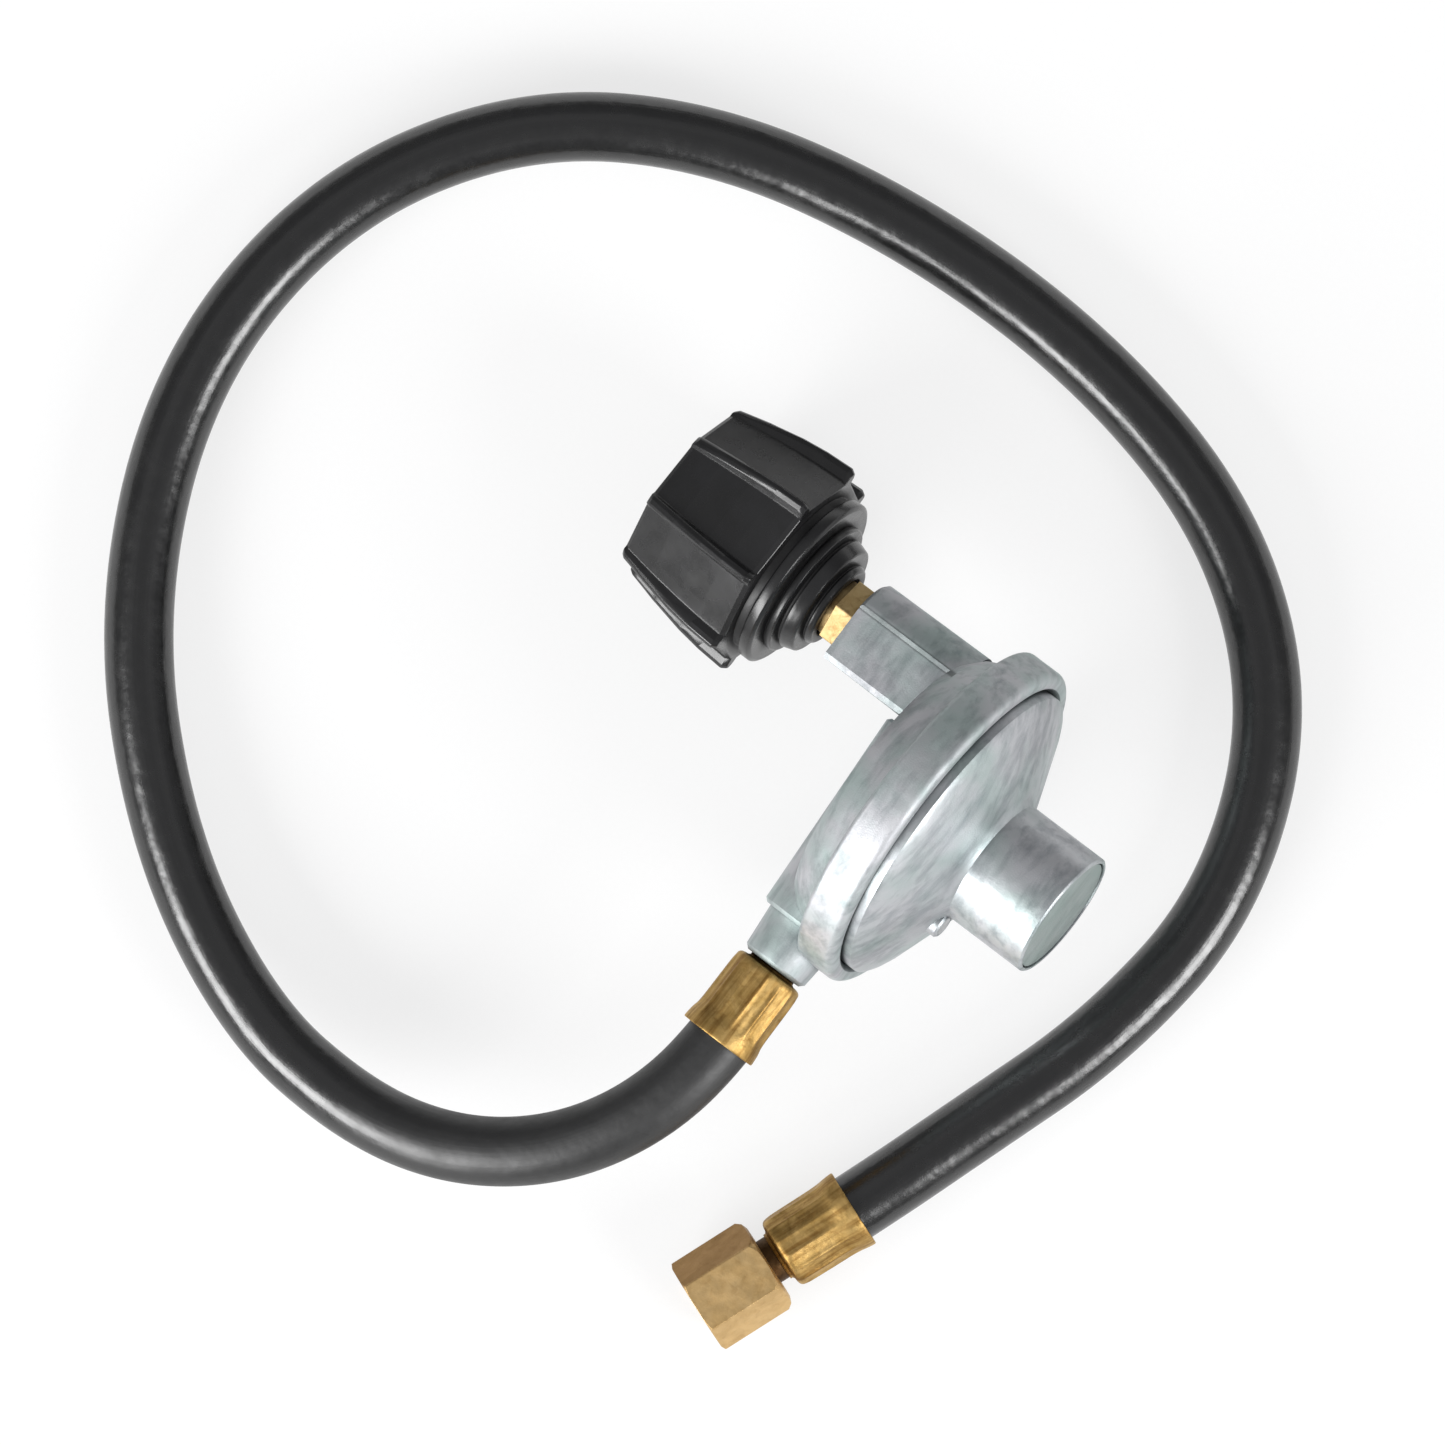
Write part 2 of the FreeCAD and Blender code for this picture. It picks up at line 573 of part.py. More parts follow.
def make_regulator_body():
    """Die-cast body: pan with a crimped rim, inlet boss with a flat, outlet channel and neck."""
    body = new_body("regulator_body")
    pan = turn(body, (
        ("pan_back", "0"),
        ("pan_back", "pan_back_radius"),
        ("pan_back + pan_shoulder", "pan_radius - 2 * crimp_wall"),
        ("rim_back", "pan_radius"),
        ("rim_back", "rim_radius"),
        ("rim_front", "rim_radius"),
        ("rim_front", "0"),
    ))
    rounded = round_circle(body, pan, "rim_radius", "rim_front", "rim_round")
    round_circle(body, rounded, "rim_radius", "rim_back", "rim_edge")
    inlet = {"y": "inlet_offset"}
    turn(body, (
        ("boss_end", "0"),
        ("boss_end", "boss_radius - boss_chamfer"),
        ("boss_end + boss_chamfer", "boss_radius"),
        ("pan_back + pan_wall", "boss_root_radius"),
        ("pan_back + pan_wall", "0"),
    ), inlet)
    # The boss is squared off on one side, so that its flat reaches out as far as its round side.
    corner = new_sketch(body, "YZ_Plane", {"z": "boss_end"})
    draw_outline(corner, (
        ("inlet_offset - boss_radius", "0"),
        ("inlet_offset", "0"),
        ("inlet_offset", "boss_radius - flat_depth"),
        ("inlet_offset - boss_radius + flat_corner", "boss_radius - flat_depth"),
        ("inlet_offset - boss_radius", "boss_radius - flat_depth - flat_corner"),
    ))
    square = body.newObject("PartDesign::Pad", "boss_corner")
    square.Profile = corner
    square.setExpression("Length", tied("pan_back - boss_end + pan_wall / 2"))
    doc.recompute()
    flat = new_sketch(body, "YZ_Plane", {"z": "boss_end - 1"})
    draw_outline(flat, (
        ("inlet_offset - boss_root_radius - 1", "boss_radius - flat_depth"),
        ("inlet_offset + flat_side", "boss_radius - flat_depth"),
        ("inlet_offset + flat_side + flat_slope", "boss_radius - flat_depth + flat_rise"),
        ("inlet_offset + flat_side + flat_slope", "boss_root_radius + 1"),
        ("inlet_offset - boss_root_radius - 1", "boss_root_radius + 1"),
    ))
    cut = body.newObject("PartDesign::Pocket", "boss_flat")
    cut.Profile = flat
    cut.Reversed = True
    cut.setExpression("Length", tied("pan_back - boss_end + 1"))
    doc.recompute()
    outlet = {"x": "outlet_place"}
    turn(body, (
        ("0", "channel_start"),
        ("channel_start_radius - boss_chamfer", "channel_start"),
        ("channel_start_radius", "channel_start - boss_chamfer"),
        ("channel_end_radius", "channel_end + boss_chamfer"),
        ("channel_end_radius - boss_chamfer", "channel_end"),
        ("neck_root_radius", "channel_end"),
        ("neck_radius", "neck_end + neck_chamfer"),
        ("neck_radius - neck_chamfer", "neck_end"),
        ("0", "neck_end"),
    ), outlet, "V_Axis")
    turn(body, (
        ("pan_floor", "0"),
        ("pan_floor", "pan_back_radius - pan_wall"),
        ("pan_floor + pan_shoulder", "chamber_radius"),
        ("land", "chamber_radius"),
        ("land", "crimp_radius"),
        ("lip_back", "crimp_radius"),
        ("lip_back", "lip_radius"),
        ("rim_front - lip_slope", "lip_radius"),
        ("rim_front + 1", "lip_radius + 1 + lip_slope"),
        ("rim_front + 1", "0"),
    ), cut=True)
    turn(body, (
        ("boss_end - 1", "0"),
        ("boss_end - 1", "nipple_thread + seat_gap"),
        ("orifice_back - seat_gap", "nipple_thread + seat_gap"),
        ("orifice_back - seat_gap", "orifice_radius + seat_gap"),
        ("orifice_shoulder", "orifice_radius + seat_gap"),
        ("orifice_shoulder", "plunger_bore"),
        ("pan_floor + 1", "plunger_bore"),
        ("pan_floor + 1", "0"),
    ), inlet, cut=True)
    turn(body, (
        ("0", "0"),
        ("outlet_bore", "0"),
        ("outlet_bore", "neck_end - 1"),
        ("0", "neck_end - 1"),
    ), outlet, "V_Axis", cut=True)
    for low, high in (
        ("lug_gap", "lug_gap + lug_thickness"),
        ("-lug_gap - lug_thickness", "-lug_gap"),
    ):
        block(
            body, "AdditiveBox",
            ("pan_floor - 1", "pivot_place - lug_width / 2", low),
            ("lever_plane + eye_radius", "pivot_place + lug_width / 2", high),
        )
    post(
        body, "SubtractiveCylinder", "pin_radius + seat_gap",
        "-lug_gap - lug_thickness - 1", "2 * (lug_gap + lug_thickness + 1)",
        "lever_plane", "pivot_place",
    )
    return body


def make_bonnet():
    """Die-cast bonnet: clamped flange, shallow cone, spring tower and vent boss."""
    body = new_body("bonnet")
    turn(body, (
        ("flange_back", "side_radius - bonnet_wall"),
        ("flange_back", "crimp_radius - seat_gap"),
        ("flange_front", "crimp_radius - seat_gap"),
        ("flange_front", "side_radius"),
        ("shoulder_height", "side_radius"),
        ("shoulder_height + 0.9", "side_radius - 1.2"),
        ("cone_start", "cone_radius"),
        ("cone_end", "foot_radius"),
        ("cone_end + foot_rise * 0.4", "tower_radius + 1.6"),
        ("cone_end + foot_rise", "tower_radius"),
        ("tower_end - tower_chamfer", "tower_radius"),
        ("tower_end", "tower_radius - tower_chamfer"),
        ("tower_end", "cap_radius + seat_gap"),
        ("cap_back - seat_gap", "cap_radius + seat_gap"),
        ("cap_back - seat_gap", "tower_bore"),
        ("bore_start", "tower_bore"),
        ("cone_start - bonnet_wall", "cone_radius"),
        ("cone_start - bonnet_wall - 0.8", "side_radius - bonnet_wall"),
    ))
    vent = {"y": "-vent_place"}
    turn(body, (
        ("cone_end - bonnet_wall / 2", "0"),
        ("cone_end - bonnet_wall / 2", "vent_radius"),
        ("vent_height - 0.5", "vent_radius"),
        ("vent_height", "vent_radius - 0.5"),
        ("vent_height", "0"),
    ), vent)
    turn(body, (
        ("cone_start", "0"),
        ("cone_start", "vent_bore"),
        ("screen_back", "vent_bore"),
        ("screen_back", "screen_radius + seat_gap"),
        ("vent_height + 1", "screen_radius + seat_gap"),
        ("vent_height + 1", "0"),
    ), vent, cut=True)
    return body


def make_bonnet_cap():
    """Flat cap pressed into the end of the spring tower."""
    return turned("bonnet_cap", (
        ("cap_back", "0"),
        ("cap_back", "cap_radius"),
        ("cap_front - 0.4", "cap_radius"),
        ("cap_front", "cap_radius - 0.4"),
        ("cap_front", "0"),
    ))


def make_vent_screen():
    """Small disc that keeps insects out of the vent."""
    return turned("vent_screen", (
        ("vent_height - screen_thickness", "0"),
        ("vent_height - screen_thickness", "screen_radius"),
        ("vent_height", "screen_radius"),
        ("vent_height", "0"),
    ), {"y": "-vent_place"})


# Regulator: pressure setting

def make_adjusting_screw():
    """Threaded disc with a hexagon socket, which sets the main spring."""
    disc = turned("adjusting_screw_disc", (
        ("screw_place", "0"),
        ("screw_place", "tower_bore - running_gap"),
        ("screw_place + screw_thickness", "tower_bore - running_gap"),
        ("screw_place + screw_thickness", "0"),
    ))
    socket = prism(
        "screw_socket_prism", "6", "screw_socket / 1.7320508",
        "screw_place - 1", "screw_thickness + 2",
    )
    return joined("adjusting_screw", "Part::Cut", (disc, socket))


def make_main_spring():
    """Spring between the diaphragm's plate and the adjusting screw."""
    start = size("plate_front") + size("seat_gap")
    return coil_spring(
        "main_spring", size("spring_radius"), size("spring_wire"), size("spring_turns"),
        start, size("screw_place") - size("seat_gap") - start, 0.0,
    )


def make_diaphragm():
    """Rubber diaphragm, clamped at its edge and rolled into one fold."""
    fold_outer = "chamber_radius - 1"
    fold_inner = "plate_radius + 1"
    front = "membrane_front + fold_height"
    back = "membrane_back + fold_height"
    return turned("diaphragm", (
        ("membrane_back", "stem_radius + seat_gap"),
        ("membrane_front", "stem_radius + seat_gap"),
        ("membrane_front", fold_inner),
        (front, fold_inner + " + 1.4"),
        (front, fold_outer + " - 1"),
        ("membrane_front", fold_outer),
        ("membrane_front", "crimp_radius - seat_gap"),
        ("membrane_back", "crimp_radius - seat_gap"),
        ("membrane_back", fold_outer + " - 0.6"),
        (back, fold_outer + " - 1.6"),
        (back, fold_inner + " + 2"),
        ("membrane_back", fold_inner + " + 0.6"),
    ))


def make_diaphragm_plate():
    """Pressed steel plate that carries the spring on the diaphragm."""
    return turned("diaphragm_plate", (
        ("plate_back", "stem_radius + seat_gap"),
        ("plate_back", "plate_radius"),
        ("plate_back + plate_lip", "plate_radius"),
        ("plate_back + plate_lip", "plate_radius - plate_thickness"),
        ("plate_front", "plate_radius - plate_thickness"),
        ("plate_front", "stem_radius + seat_gap"),
    ))


def make_diaphragm_washer():
    """Washer under the diaphragm, on the gas side."""
    return turned("diaphragm_washer", (
        ("washer_back", "stem_radius + seat_gap"),
        ("washer_back", "washer_radius"),
        ("washer_front", "washer_radius"),
        ("washer_front", "stem_radius + seat_gap"),
    ))


def make_diaphragm_stem():
    """Stem riveted through the diaphragm, with two collars round the lever's fork."""
    head_back = "plate_front + seat_gap"
    collar_top = "washer_back - seat_gap"
    return turned("diaphragm_stem", (
        ("fork_back - stem_collar", "0"),
        ("fork_back - stem_collar", "stem_head"),
        ("fork_back", "stem_head"),
        ("fork_back", "stem_radius"),
        ("fork_front", "stem_radius"),
        ("fork_front", "stem_head"),
        (collar_top, "stem_head"),
        (collar_top, "stem_radius"),
        (head_back, "stem_radius"),
        (head_back, "stem_head"),
        (head_back + " + stem_collar", "stem_head - 0.6"),
        (head_back + " + stem_collar", "0"),
    ))


# Regulator: lever and valve

def make_lever():
    """Flat lever with an eye for its pin and a fork round the diaphragm's stem."""
    body = new_body("lever")
    half = "lever_width / 2"
    block(
        body, "AdditiveBox",
        ("lever_back", "stem_radius + 1", "-" + half),
        ("lever_front", "inlet_offset + lever_tip", half),
    )
    block(
        body, "AdditiveBox",
        ("lever_back", "-fork_reach", "-fork_width / 2"),
        ("lever_front", "stem_head + 3", "fork_width / 2"),
    )
    post(body, "AdditiveCylinder", "eye_radius", "-" + half, "lever_width",
         "lever_plane", "pivot_place")
    post(body, "SubtractiveCylinder", "pin_radius + running_gap", "-lever_width", "2 * lever_width",
         "lever_plane", "pivot_place")
    block(
        body, "SubtractiveBox",
        ("lever_back - 1", "-fork_reach - 1", "-stem_radius - 0.4"),
        ("lever_front + 1", "stem_radius + 0.6", "stem_radius + 0.4"),
    )
    return body


def make_lever_pin():
    """Pin that carries the lever between the body's two lugs."""
    body = new_body("lever_pin")
    post(body, "AdditiveCylinder", "pin_radius", "-lug_gap - lug_thickness",
         "2 * (lug_gap + lug_thickness)", "lever_plane", "pivot_place")
    return body


def make_valve_plunger():
    """Plunger that the lever pushes, with a pocket for the seat disc and flats for the gas."""
    body = turned("valve_plunger", (
        ("plunger_front", "disc_radius + seat_gap"),
        ("plunger_front", "plunger_radius - 0.4"),
        ("plunger_front + 0.4", "plunger_radius"),
        ("plunger_back - 0.8", "plunger_radius"),
        ("plunger_back", "plunger_radius - 0.8"),
        ("plunger_back", "0"),
        ("plunger_front + disc_depth", "0"),
        ("plunger_front + disc_depth", "disc_radius + seat_gap"),
    ), {"y": "inlet_offset"})
    for low, high in (
        ("plunger_radius - 1", "plunger_radius + 1"),
        ("-plunger_radius - 1", "1 - plunger_radius"),
    ):
        block(
            body, "SubtractiveBox",
            ("plunger_front - 1", "inlet_offset - plunger_radius", low),
            ("plunger_back + 1", "inlet_offset + plunger_radius", high),
        )
    return body


def make_seat_disc():
    """Rubber disc that shuts the orifice."""
    return turned("seat_disc", (
        ("disc_front", "0"),
        ("disc_front", "disc_radius"),
        ("plunger_front + disc_depth - seat_gap", "disc_radius"),
        ("plunger_front + disc_depth - seat_gap", "0"),
    ), {"y": "inlet_offset"})


def make_orifice():
    """Brass orifice screwed into the inlet passage."""
    return turned("orifice", (
        ("orifice_back", "orifice_bore + 1.6"),
        ("orifice_back", "orifice_radius"),
        ("orifice_shoulder - 0.3", "orifice_radius"),
        ("orifice_shoulder - 0.3", "orifice_tip + 1.4"),
        ("orifice_front", "orifice_tip"),
        ("orifice_front", "orifice_bore"),
        ("orifice_back + 2", "orifice_bore"),
    ), {"y": "inlet_offset"})


# Inlet: nipple with its excess-flow check

def make_inlet_nipple():
    """Brass nipple: thread, hexagon, neck, collar and sealing nose."""
    inlet = {"y": "inlet_offset"}
    body = turned("inlet_nipple", (
        ("nose_end", "0"),
        ("nose_end", "nose_radius - nose_chamfer"),
        ("nose_end + nose_chamfer", "nose_radius"),
        ("seal_middle - seal_wire - 0.1", "nose_radius"),
        ("seal_middle - seal_wire - 0.1", "seal_groove"),
        ("seal_middle + seal_wire + 0.1", "seal_groove"),
        ("seal_middle + seal_wire + 0.1", "nose_radius"),
        ("nose_start", "nose_radius"),
        ("nose_root", "nose_root_radius"),
        ("collar_front", "nose_root_radius"),
        ("collar_front", "collar_radius - 0.6"),
        ("collar_front + 0.6", "collar_radius"),
        ("collar_back", "collar_radius"),
        ("collar_back", "nipple_thread"),
        ("nipple_inner_end - 0.6", "nipple_thread"),
        ("nipple_inner_end", "nipple_thread - 0.6"),
        ("nipple_inner_end", "0"),
    ), inlet)
    hexagon = body.newObject("PartDesign::AdditivePrism", "nipple_hexagon")
    hexagon.AttachmentSupport = [(origin_plane(body, "YZ_Plane"), "")]
    hexagon.MapMode = "FlatFace"
    hexagon.Polygon = 6
    hexagon.setExpression("Circumradius", tied("hex_flats / 1.7320508"))
    hexagon.setExpression("Height", tied("hex_length"))
    hexagon.AttachmentOffset = Placement(Vector(), Rotation(Vector(0, 0, 1), 90))
    hexagon.setExpression("AttachmentOffset.Base.x", tied("inlet_offset"))
    hexagon.setExpression("AttachmentOffset.Base.z", tied("hex_back"))
    doc.recompute()
    turn(body, (
        ("nose_end - 1", "0"),
        ("nose_end - 1", "retainer_radius + seat_gap"),
        ("retainer_back + seat_gap", "retainer_radius + seat_gap"),
        ("retainer_back + seat_gap", "check_bore"),
        ("check_back", "check_bore"),
        ("check_back", "nipple_bore"),
        ("nipple_inner_end + 1", "nipple_bore"),
        ("nipple_inner_end + 1", "0"),
    ), inlet, cut=True)
    return body


def make_nose_seal():
    """Rubber ring in the nose's groove."""
    body = new_body("nose_seal")
    ring = body.newObject("PartDesign::AdditiveTorus", "nose_seal_ring")
    ring.AttachmentSupport = [(origin_plane(body, "YZ_Plane"), "")]
    ring.MapMode = "FlatFace"
    ring.setExpression("Radius1", tied("seal_groove + seal_wire + seat_gap"))
    ring.setExpression("Radius2", tied("seal_wire"))
    ring.setExpression("AttachmentOffset.Base.x", tied("inlet_offset"))
    ring.setExpression("AttachmentOffset.Base.z", tied("seal_middle"))
    doc.recompute()
    return body


def make_check_retainer():
    """Ring pressed into the nose, which keeps the poppet in."""
    return turned("check_retainer", (
        ("nose_end", "retainer_bore"),
        ("nose_end", "retainer_radius"),
        ("retainer_back", "retainer_radius"),
        ("retainer_back", "retainer_bore"),
    ), {"y": "inlet_offset"})


def make_flow_poppet():
    """Poppet that shuts when the gas runs too fast."""
    return turned("flow_poppet", (
        ("poppet_front", "0"),
        ("poppet_front", "poppet_radius - 0.5"),
        ("poppet_front + 0.5", "poppet_radius"),
        ("poppet_back", "poppet_radius"),
        ("poppet_back", "poppet_stem"),
        ("poppet_back + poppet_stem_length", "poppet_stem"),
        ("poppet_back + poppet_stem_length", "0"),
    ), {"y": "inlet_offset"})


def make_check_spring():
    """Spring that holds the poppet open."""
    start = size("poppet_back") + size("seat_gap")
    return coil_spring(
        "check_spring", size("check_spring_radius"), size("check_spring_wire"),
        size("check_spring_turns"), start, size("check_back") - size("seat_gap") - start,
        size("inlet_offset"),
    )


# Inlet: coupling nut and its bushing

def grip_section(place, rib_radius, rib_height):
    """The corners of one outline across the grip: flat panels with a rib between each two."""
    panels = round(size("panels"))
    half = size("rib_width") / 2
    foot = rib_radius - rib_height - half * math.tan(math.pi / panels)
    middle = Vector(place, size("inlet_offset"), 0)
    points = []
    for index in range(panels):
        angle = 2 * math.pi * (index + 0.5) / panels + math.radians(size("nut_turn"))
        outward = Vector(0, math.sin(angle), math.cos(angle))
        sideways = Vector(0, math.cos(angle), -math.sin(angle))
        for share, reach in (
            (-1.0, foot),
            (-0.8, rib_radius - 0.45 * rib_height),
            (-0.3, rib_radius),
            (0.3, rib_radius),
            (0.8, rib_radius - 0.45 * rib_height),
            (1.0, foot),
        ):
            points.append(middle + outward * reach + sideways * (share * half))
    return points


def grip_sections():
    """The outlines across the grip, from its mouth to its back."""
    return [
        grip_section(
            size("mouth") + along * size("grip_length"),
            size("grip_radius") - inwards,
            share * size("rib_height"),
        )
        for along, inwards, share in GRIP_STATIONS
    ]


def make_coupling_nut():
    """Black plastic hand nut: tapered grip with eight panels, and rings behind it."""
    grip = doc.addObject("Part::Feature", "coupling_grip")
    outlines = [Part.makePolygon(points + [points[0]]) for points in grip_sections()]
    grip.Shape = Part.makeLoft(outlines, True, True)
    rings = [(f"grip_back + {along}", f"{radius}") for along, radius in COLLAR_CORNERS]
    first, last = rings[0][0], rings[-1][0]
    outline = [(first, "0")] + rings + [(last, "0")]
    collar = turned("coupling_collar", outline, {"y": "inlet_offset"})
    outside = joined("coupling_outside", "Part::MultiFuse", (grip, collar))
    hollow = turned("coupling_hollow", (
        ("mouth - 1", "0"),
        ("mouth - 1", "thread_radius + 2.2"),
        ("mouth + 1.2", "thread_radius"),
        ("pocket_front", "thread_radius"),
        ("pocket_front", "bushing_radius + seat_gap"),
        ("bushing_back + seat_gap", "bushing_radius + seat_gap"),
        ("bushing_back + seat_gap", "nut_throat"),
        (last + " + 1", "nut_throat"),
        (last + " + 1", "0"),
    ), {"y": "inlet_offset"})
    return joined("coupling_nut", "Part::Cut", (outside, hollow))


def make_thermal_bushing():
    """Bushing that carries the coupling nut on the nipple, and lets go in a fire."""
    return turned("thermal_bushing", (
        ("bushing_front", "nipple_thread + running_gap"),
        ("bushing_front", "bushing_radius"),
        ("bushing_back", "bushing_radius"),
        ("bushing_back", "nipple_thread + running_gap"),
    ), {"y": "inlet_offset"})


# Hose ends: inserts, ferrules and flare nut, each drawn along X from its own zero

def ferrule_outline():
    """The outline of a crimped ferrule: closed end at zero, open lip along +X."""
    return (
        ("0", "hose_bore + seat_gap"),
        ("0", "ferrule_nose"),
        ("ferrule_slope", "ferrule_radius"),
        ("ferrule_length - ferrule_lip_length", "ferrule_radius"),
        ("ferrule_length", "ferrule_radius + ferrule_lip"),
        ("ferrule_length", "hose_radius + seat_gap"),
        ("ferrule_face", "hose_radius + seat_gap"),
        ("ferrule_face", "hose_bore + seat_gap"),
    )


def make_ferrule(label):
    """Brass ferrule with flats pressed round it between its ends."""
    shell = turned(label + "_shell", ferrule_outline())
    corner = "crimp_flat_radius / 0.9238795"
    flats = prism(label + "_flats", "crimp_flats", corner, "0.8 * ferrule_slope",
                  "ferrule_length - ferrule_lip_length - 0.8 * ferrule_slope", turn_degrees=22.5)
    ends = turned(label + "_ends", (
        ("-1", "0"),
        ("-1", "ferrule_radius + 1"),
        ("0.8 * ferrule_slope", "ferrule_radius + 1"),
        ("0.8 * ferrule_slope", "0"),
    ))
    lip = turned(label + "_lip", (
        ("ferrule_length - ferrule_lip_length", "0"),
        ("ferrule_length - ferrule_lip_length", "ferrule_radius + 1"),
        ("ferrule_length + 1", "ferrule_radius + 1"),
        ("ferrule_length + 1", "0"),
    ))
    envelope = joined(label + "_envelope", "Part::MultiFuse", (flats, ends, lip))
    return joined(label, "Part::MultiCommon", (shell, envelope))


def make_outlet_insert():
    """Brass insert: shank in the regulator's neck, barbed tail in the hose."""
    body = new_body("outlet_insert")
    turn(body, insert_outline("-insert_screwed", "outlet_bore - seat_gap"))
    return body


def insert_outline(start, shank):
    """The outline of a hose insert: shank up to the ferrule, barbed tail inside the hose."""
    tail = "ferrule_face + seat_gap"
    end = tail + " + barb_length"
    return (
        (start, "insert_bore"),
        (start, shank),
        ("-seat_gap", shank),
        ("-seat_gap", "hose_bore"),
        (end + " - 3", "hose_bore"),
        (end, "hose_bore - 0.9"),
        (end, "insert_bore"),
    )


def make_flare_stem():
    """Brass insert of the free end, with the head and the 45 degree seat of the swivel."""
    body = new_body("flare_stem")
    tail_end = "ferrule_face + seat_gap + barb_length"
    turn(body, (
        ("-" + "head_front", "flare_seat"),
        ("-" + "head_front", "flare_head"),
        ("-" + "head_back", "flare_head"),
        ("-" + "head_back", "flare_neck"),
        ("-seat_gap", "flare_neck"),
        ("-seat_gap", "hose_bore"),
        (tail_end + " - 3", "hose_bore"),
        (tail_end, "hose_bore - 0.9"),
        (tail_end, "insert_bore"),
        ("flare_seat - insert_bore - head_front", "insert_bore"),
    ))
    return body


def make_flare_nut():
    """Hexagonal flare nut that swivels on its stem."""
    hexagon = prism("flare_hexagon", "6", "flare_flats / 1.7320508",
                    "-flare_front", "flare_length", turn_degrees=30.0)
    corner = "flare_flats / 1.7320508"
    outline = turned("flare_outline", (
        ("-flare_front", "0"),
        ("-flare_front", corner + " - flare_chamfer"),
        ("flare_chamfer / 2 - flare_front", corner),
        ("-flare_back - flare_dome", corner),
        ("-flare_back - flare_dome / 3", corner + " - flare_dome / 2"),
        ("-flare_back", corner + " - 1.3 * flare_dome"),
        ("-flare_back", "0"),
    ))
    outside = joined("flare_outside", "Part::MultiCommon", (hexagon, outline))
    hollow = turned("flare_hollow", (
        ("-flare_front - 1", "0"),
        ("-flare_front - 1", "flare_thread + thread_chamfer + 1"),
        ("thread_chamfer - flare_front", "flare_thread"),
        ("-thread_end", "flare_thread"),
        ("-thread_end", "flare_relief"),
        ("-flare_back - flare_web", "flare_relief"),
        ("-flare_back - flare_web", "flare_neck + running_gap"),
        ("1 - flare_back", "flare_neck + running_gap"),
        ("1 - flare_back", "0"),
    ))
    return joined("flare_nut", "Part::Cut", (outside, hollow))


# How the pieces stand

def resting_tilt():
    """The angle at which the rim's back edge and one of the nut's ribs both touch the table."""
    edge = size("rim_edge")
    tilts = []
    for point in (point for section in grip_sections() for point in section if point.z < 0):
        rise = size("rim_radius") - edge + point.z
        run = size("rim_back") + edge - point.x
        reach = math.hypot(rise, run)
        tilts.append(math.acos(-edge / reach) - math.atan2(run, rise))
    return min(tilts)


def resting_height(tilt):
    """Height of the zero point of the regulator above the table."""
    edge = size("rim_edge")
    down = (size("rim_radius") - edge) * math.cos(tilt)
    return down - (size("rim_back") + edge) * math.sin(tilt) + edge


def hose_route(start, resting):
    """The corners of the hose's route, from the first ferrule to the last."""
    ends = [Vector(x, y, resting) for x, y in ROUTE_END]
    return [start] + [Vector(*point) for point in ROUTE] + ends


def make_hose(points):
    """Hose as straight runs joined by tangent arcs, each as large as its runs allow."""
    edges = []
    here = points[0]
    for before, corner, after in zip(points, points[1:], points[2:]):
        shorter = min((corner - before).Length, (after - corner).Length)
        back = (before - corner).normalize()
        on = (after - corner).normalize()
        first = corner + back * 0.45 * shorter
        last = corner + on * 0.45 * shorter
        edges.append(Part.LineSegment(here, first).toShape())
        edges.append(arc_under_corner(first, corner, last))
        half_turn = (math.pi - back.getAngle(on)) / 2
        print(f"hose radius {0.45 * shorter / math.tan(half_turn):.0f} mm")
        here = last
    edges.append(Part.LineSegment(here, points[-1]).toShape())
    path = Part.Wire(edges)
    way = (points[1] - points[0]).normalize()
    tubes = []
    for radius in (size("hose_radius"), size("hose_bore")):
        ring = Part.Wire(Part.makeCircle(radius, points[0], way))
        tubes.append(path.makePipeShell([ring], True, False))
    hose = doc.addObject("Part::Feature", "hose_shape")
    hose.Shape = tubes[0].cut(tubes[1])
    hose.Label = "hose"
    section = math.pi * (size("hose_radius") ** 2 - size("hose_bore") ** 2)
    share = hose.Shape.Volume / (section * path.Length)
    print(f"hose length {path.Length:.1f} mm, volume over section times length {share:.5f}")
    return hose


def place_all(pieces, placement):
    for made in pieces:
        made.Placement = placement * made.Placement


def middle_of(shapes):
    """The middle of the outline of some shapes, seen from above."""
    corners = [point for shape in shapes for point in shape.tessellate(0.05)[0]]
    across = [point.x for point in corners]
    along = [point.y for point in corners]
    return Vector((min(across) + max(across)) / 2, (min(along) + max(along)) / 2, 0)


def check(pieces):
    """Stop where an object failed or a piece isn't one valid solid or group of solids."""
    for item in doc.Objects:
        if "Invalid" in item.State or "Error" in item.State:
            raise RuntimeError(f"{item.Label} failed: {item.State}")
    for label, made in pieces.items():
        if made.Shape.isNull() or not made.Shape.isValid() or not made.Shape.Solids:
            raise RuntimeError(f"{label} has no valid solid")


write_sheet()
tilt = resting_tilt()
height = resting_height(tilt)
print(f"tilt {math.degrees(tilt):.3f} degrees, axis {height:.3f} mm above the table")

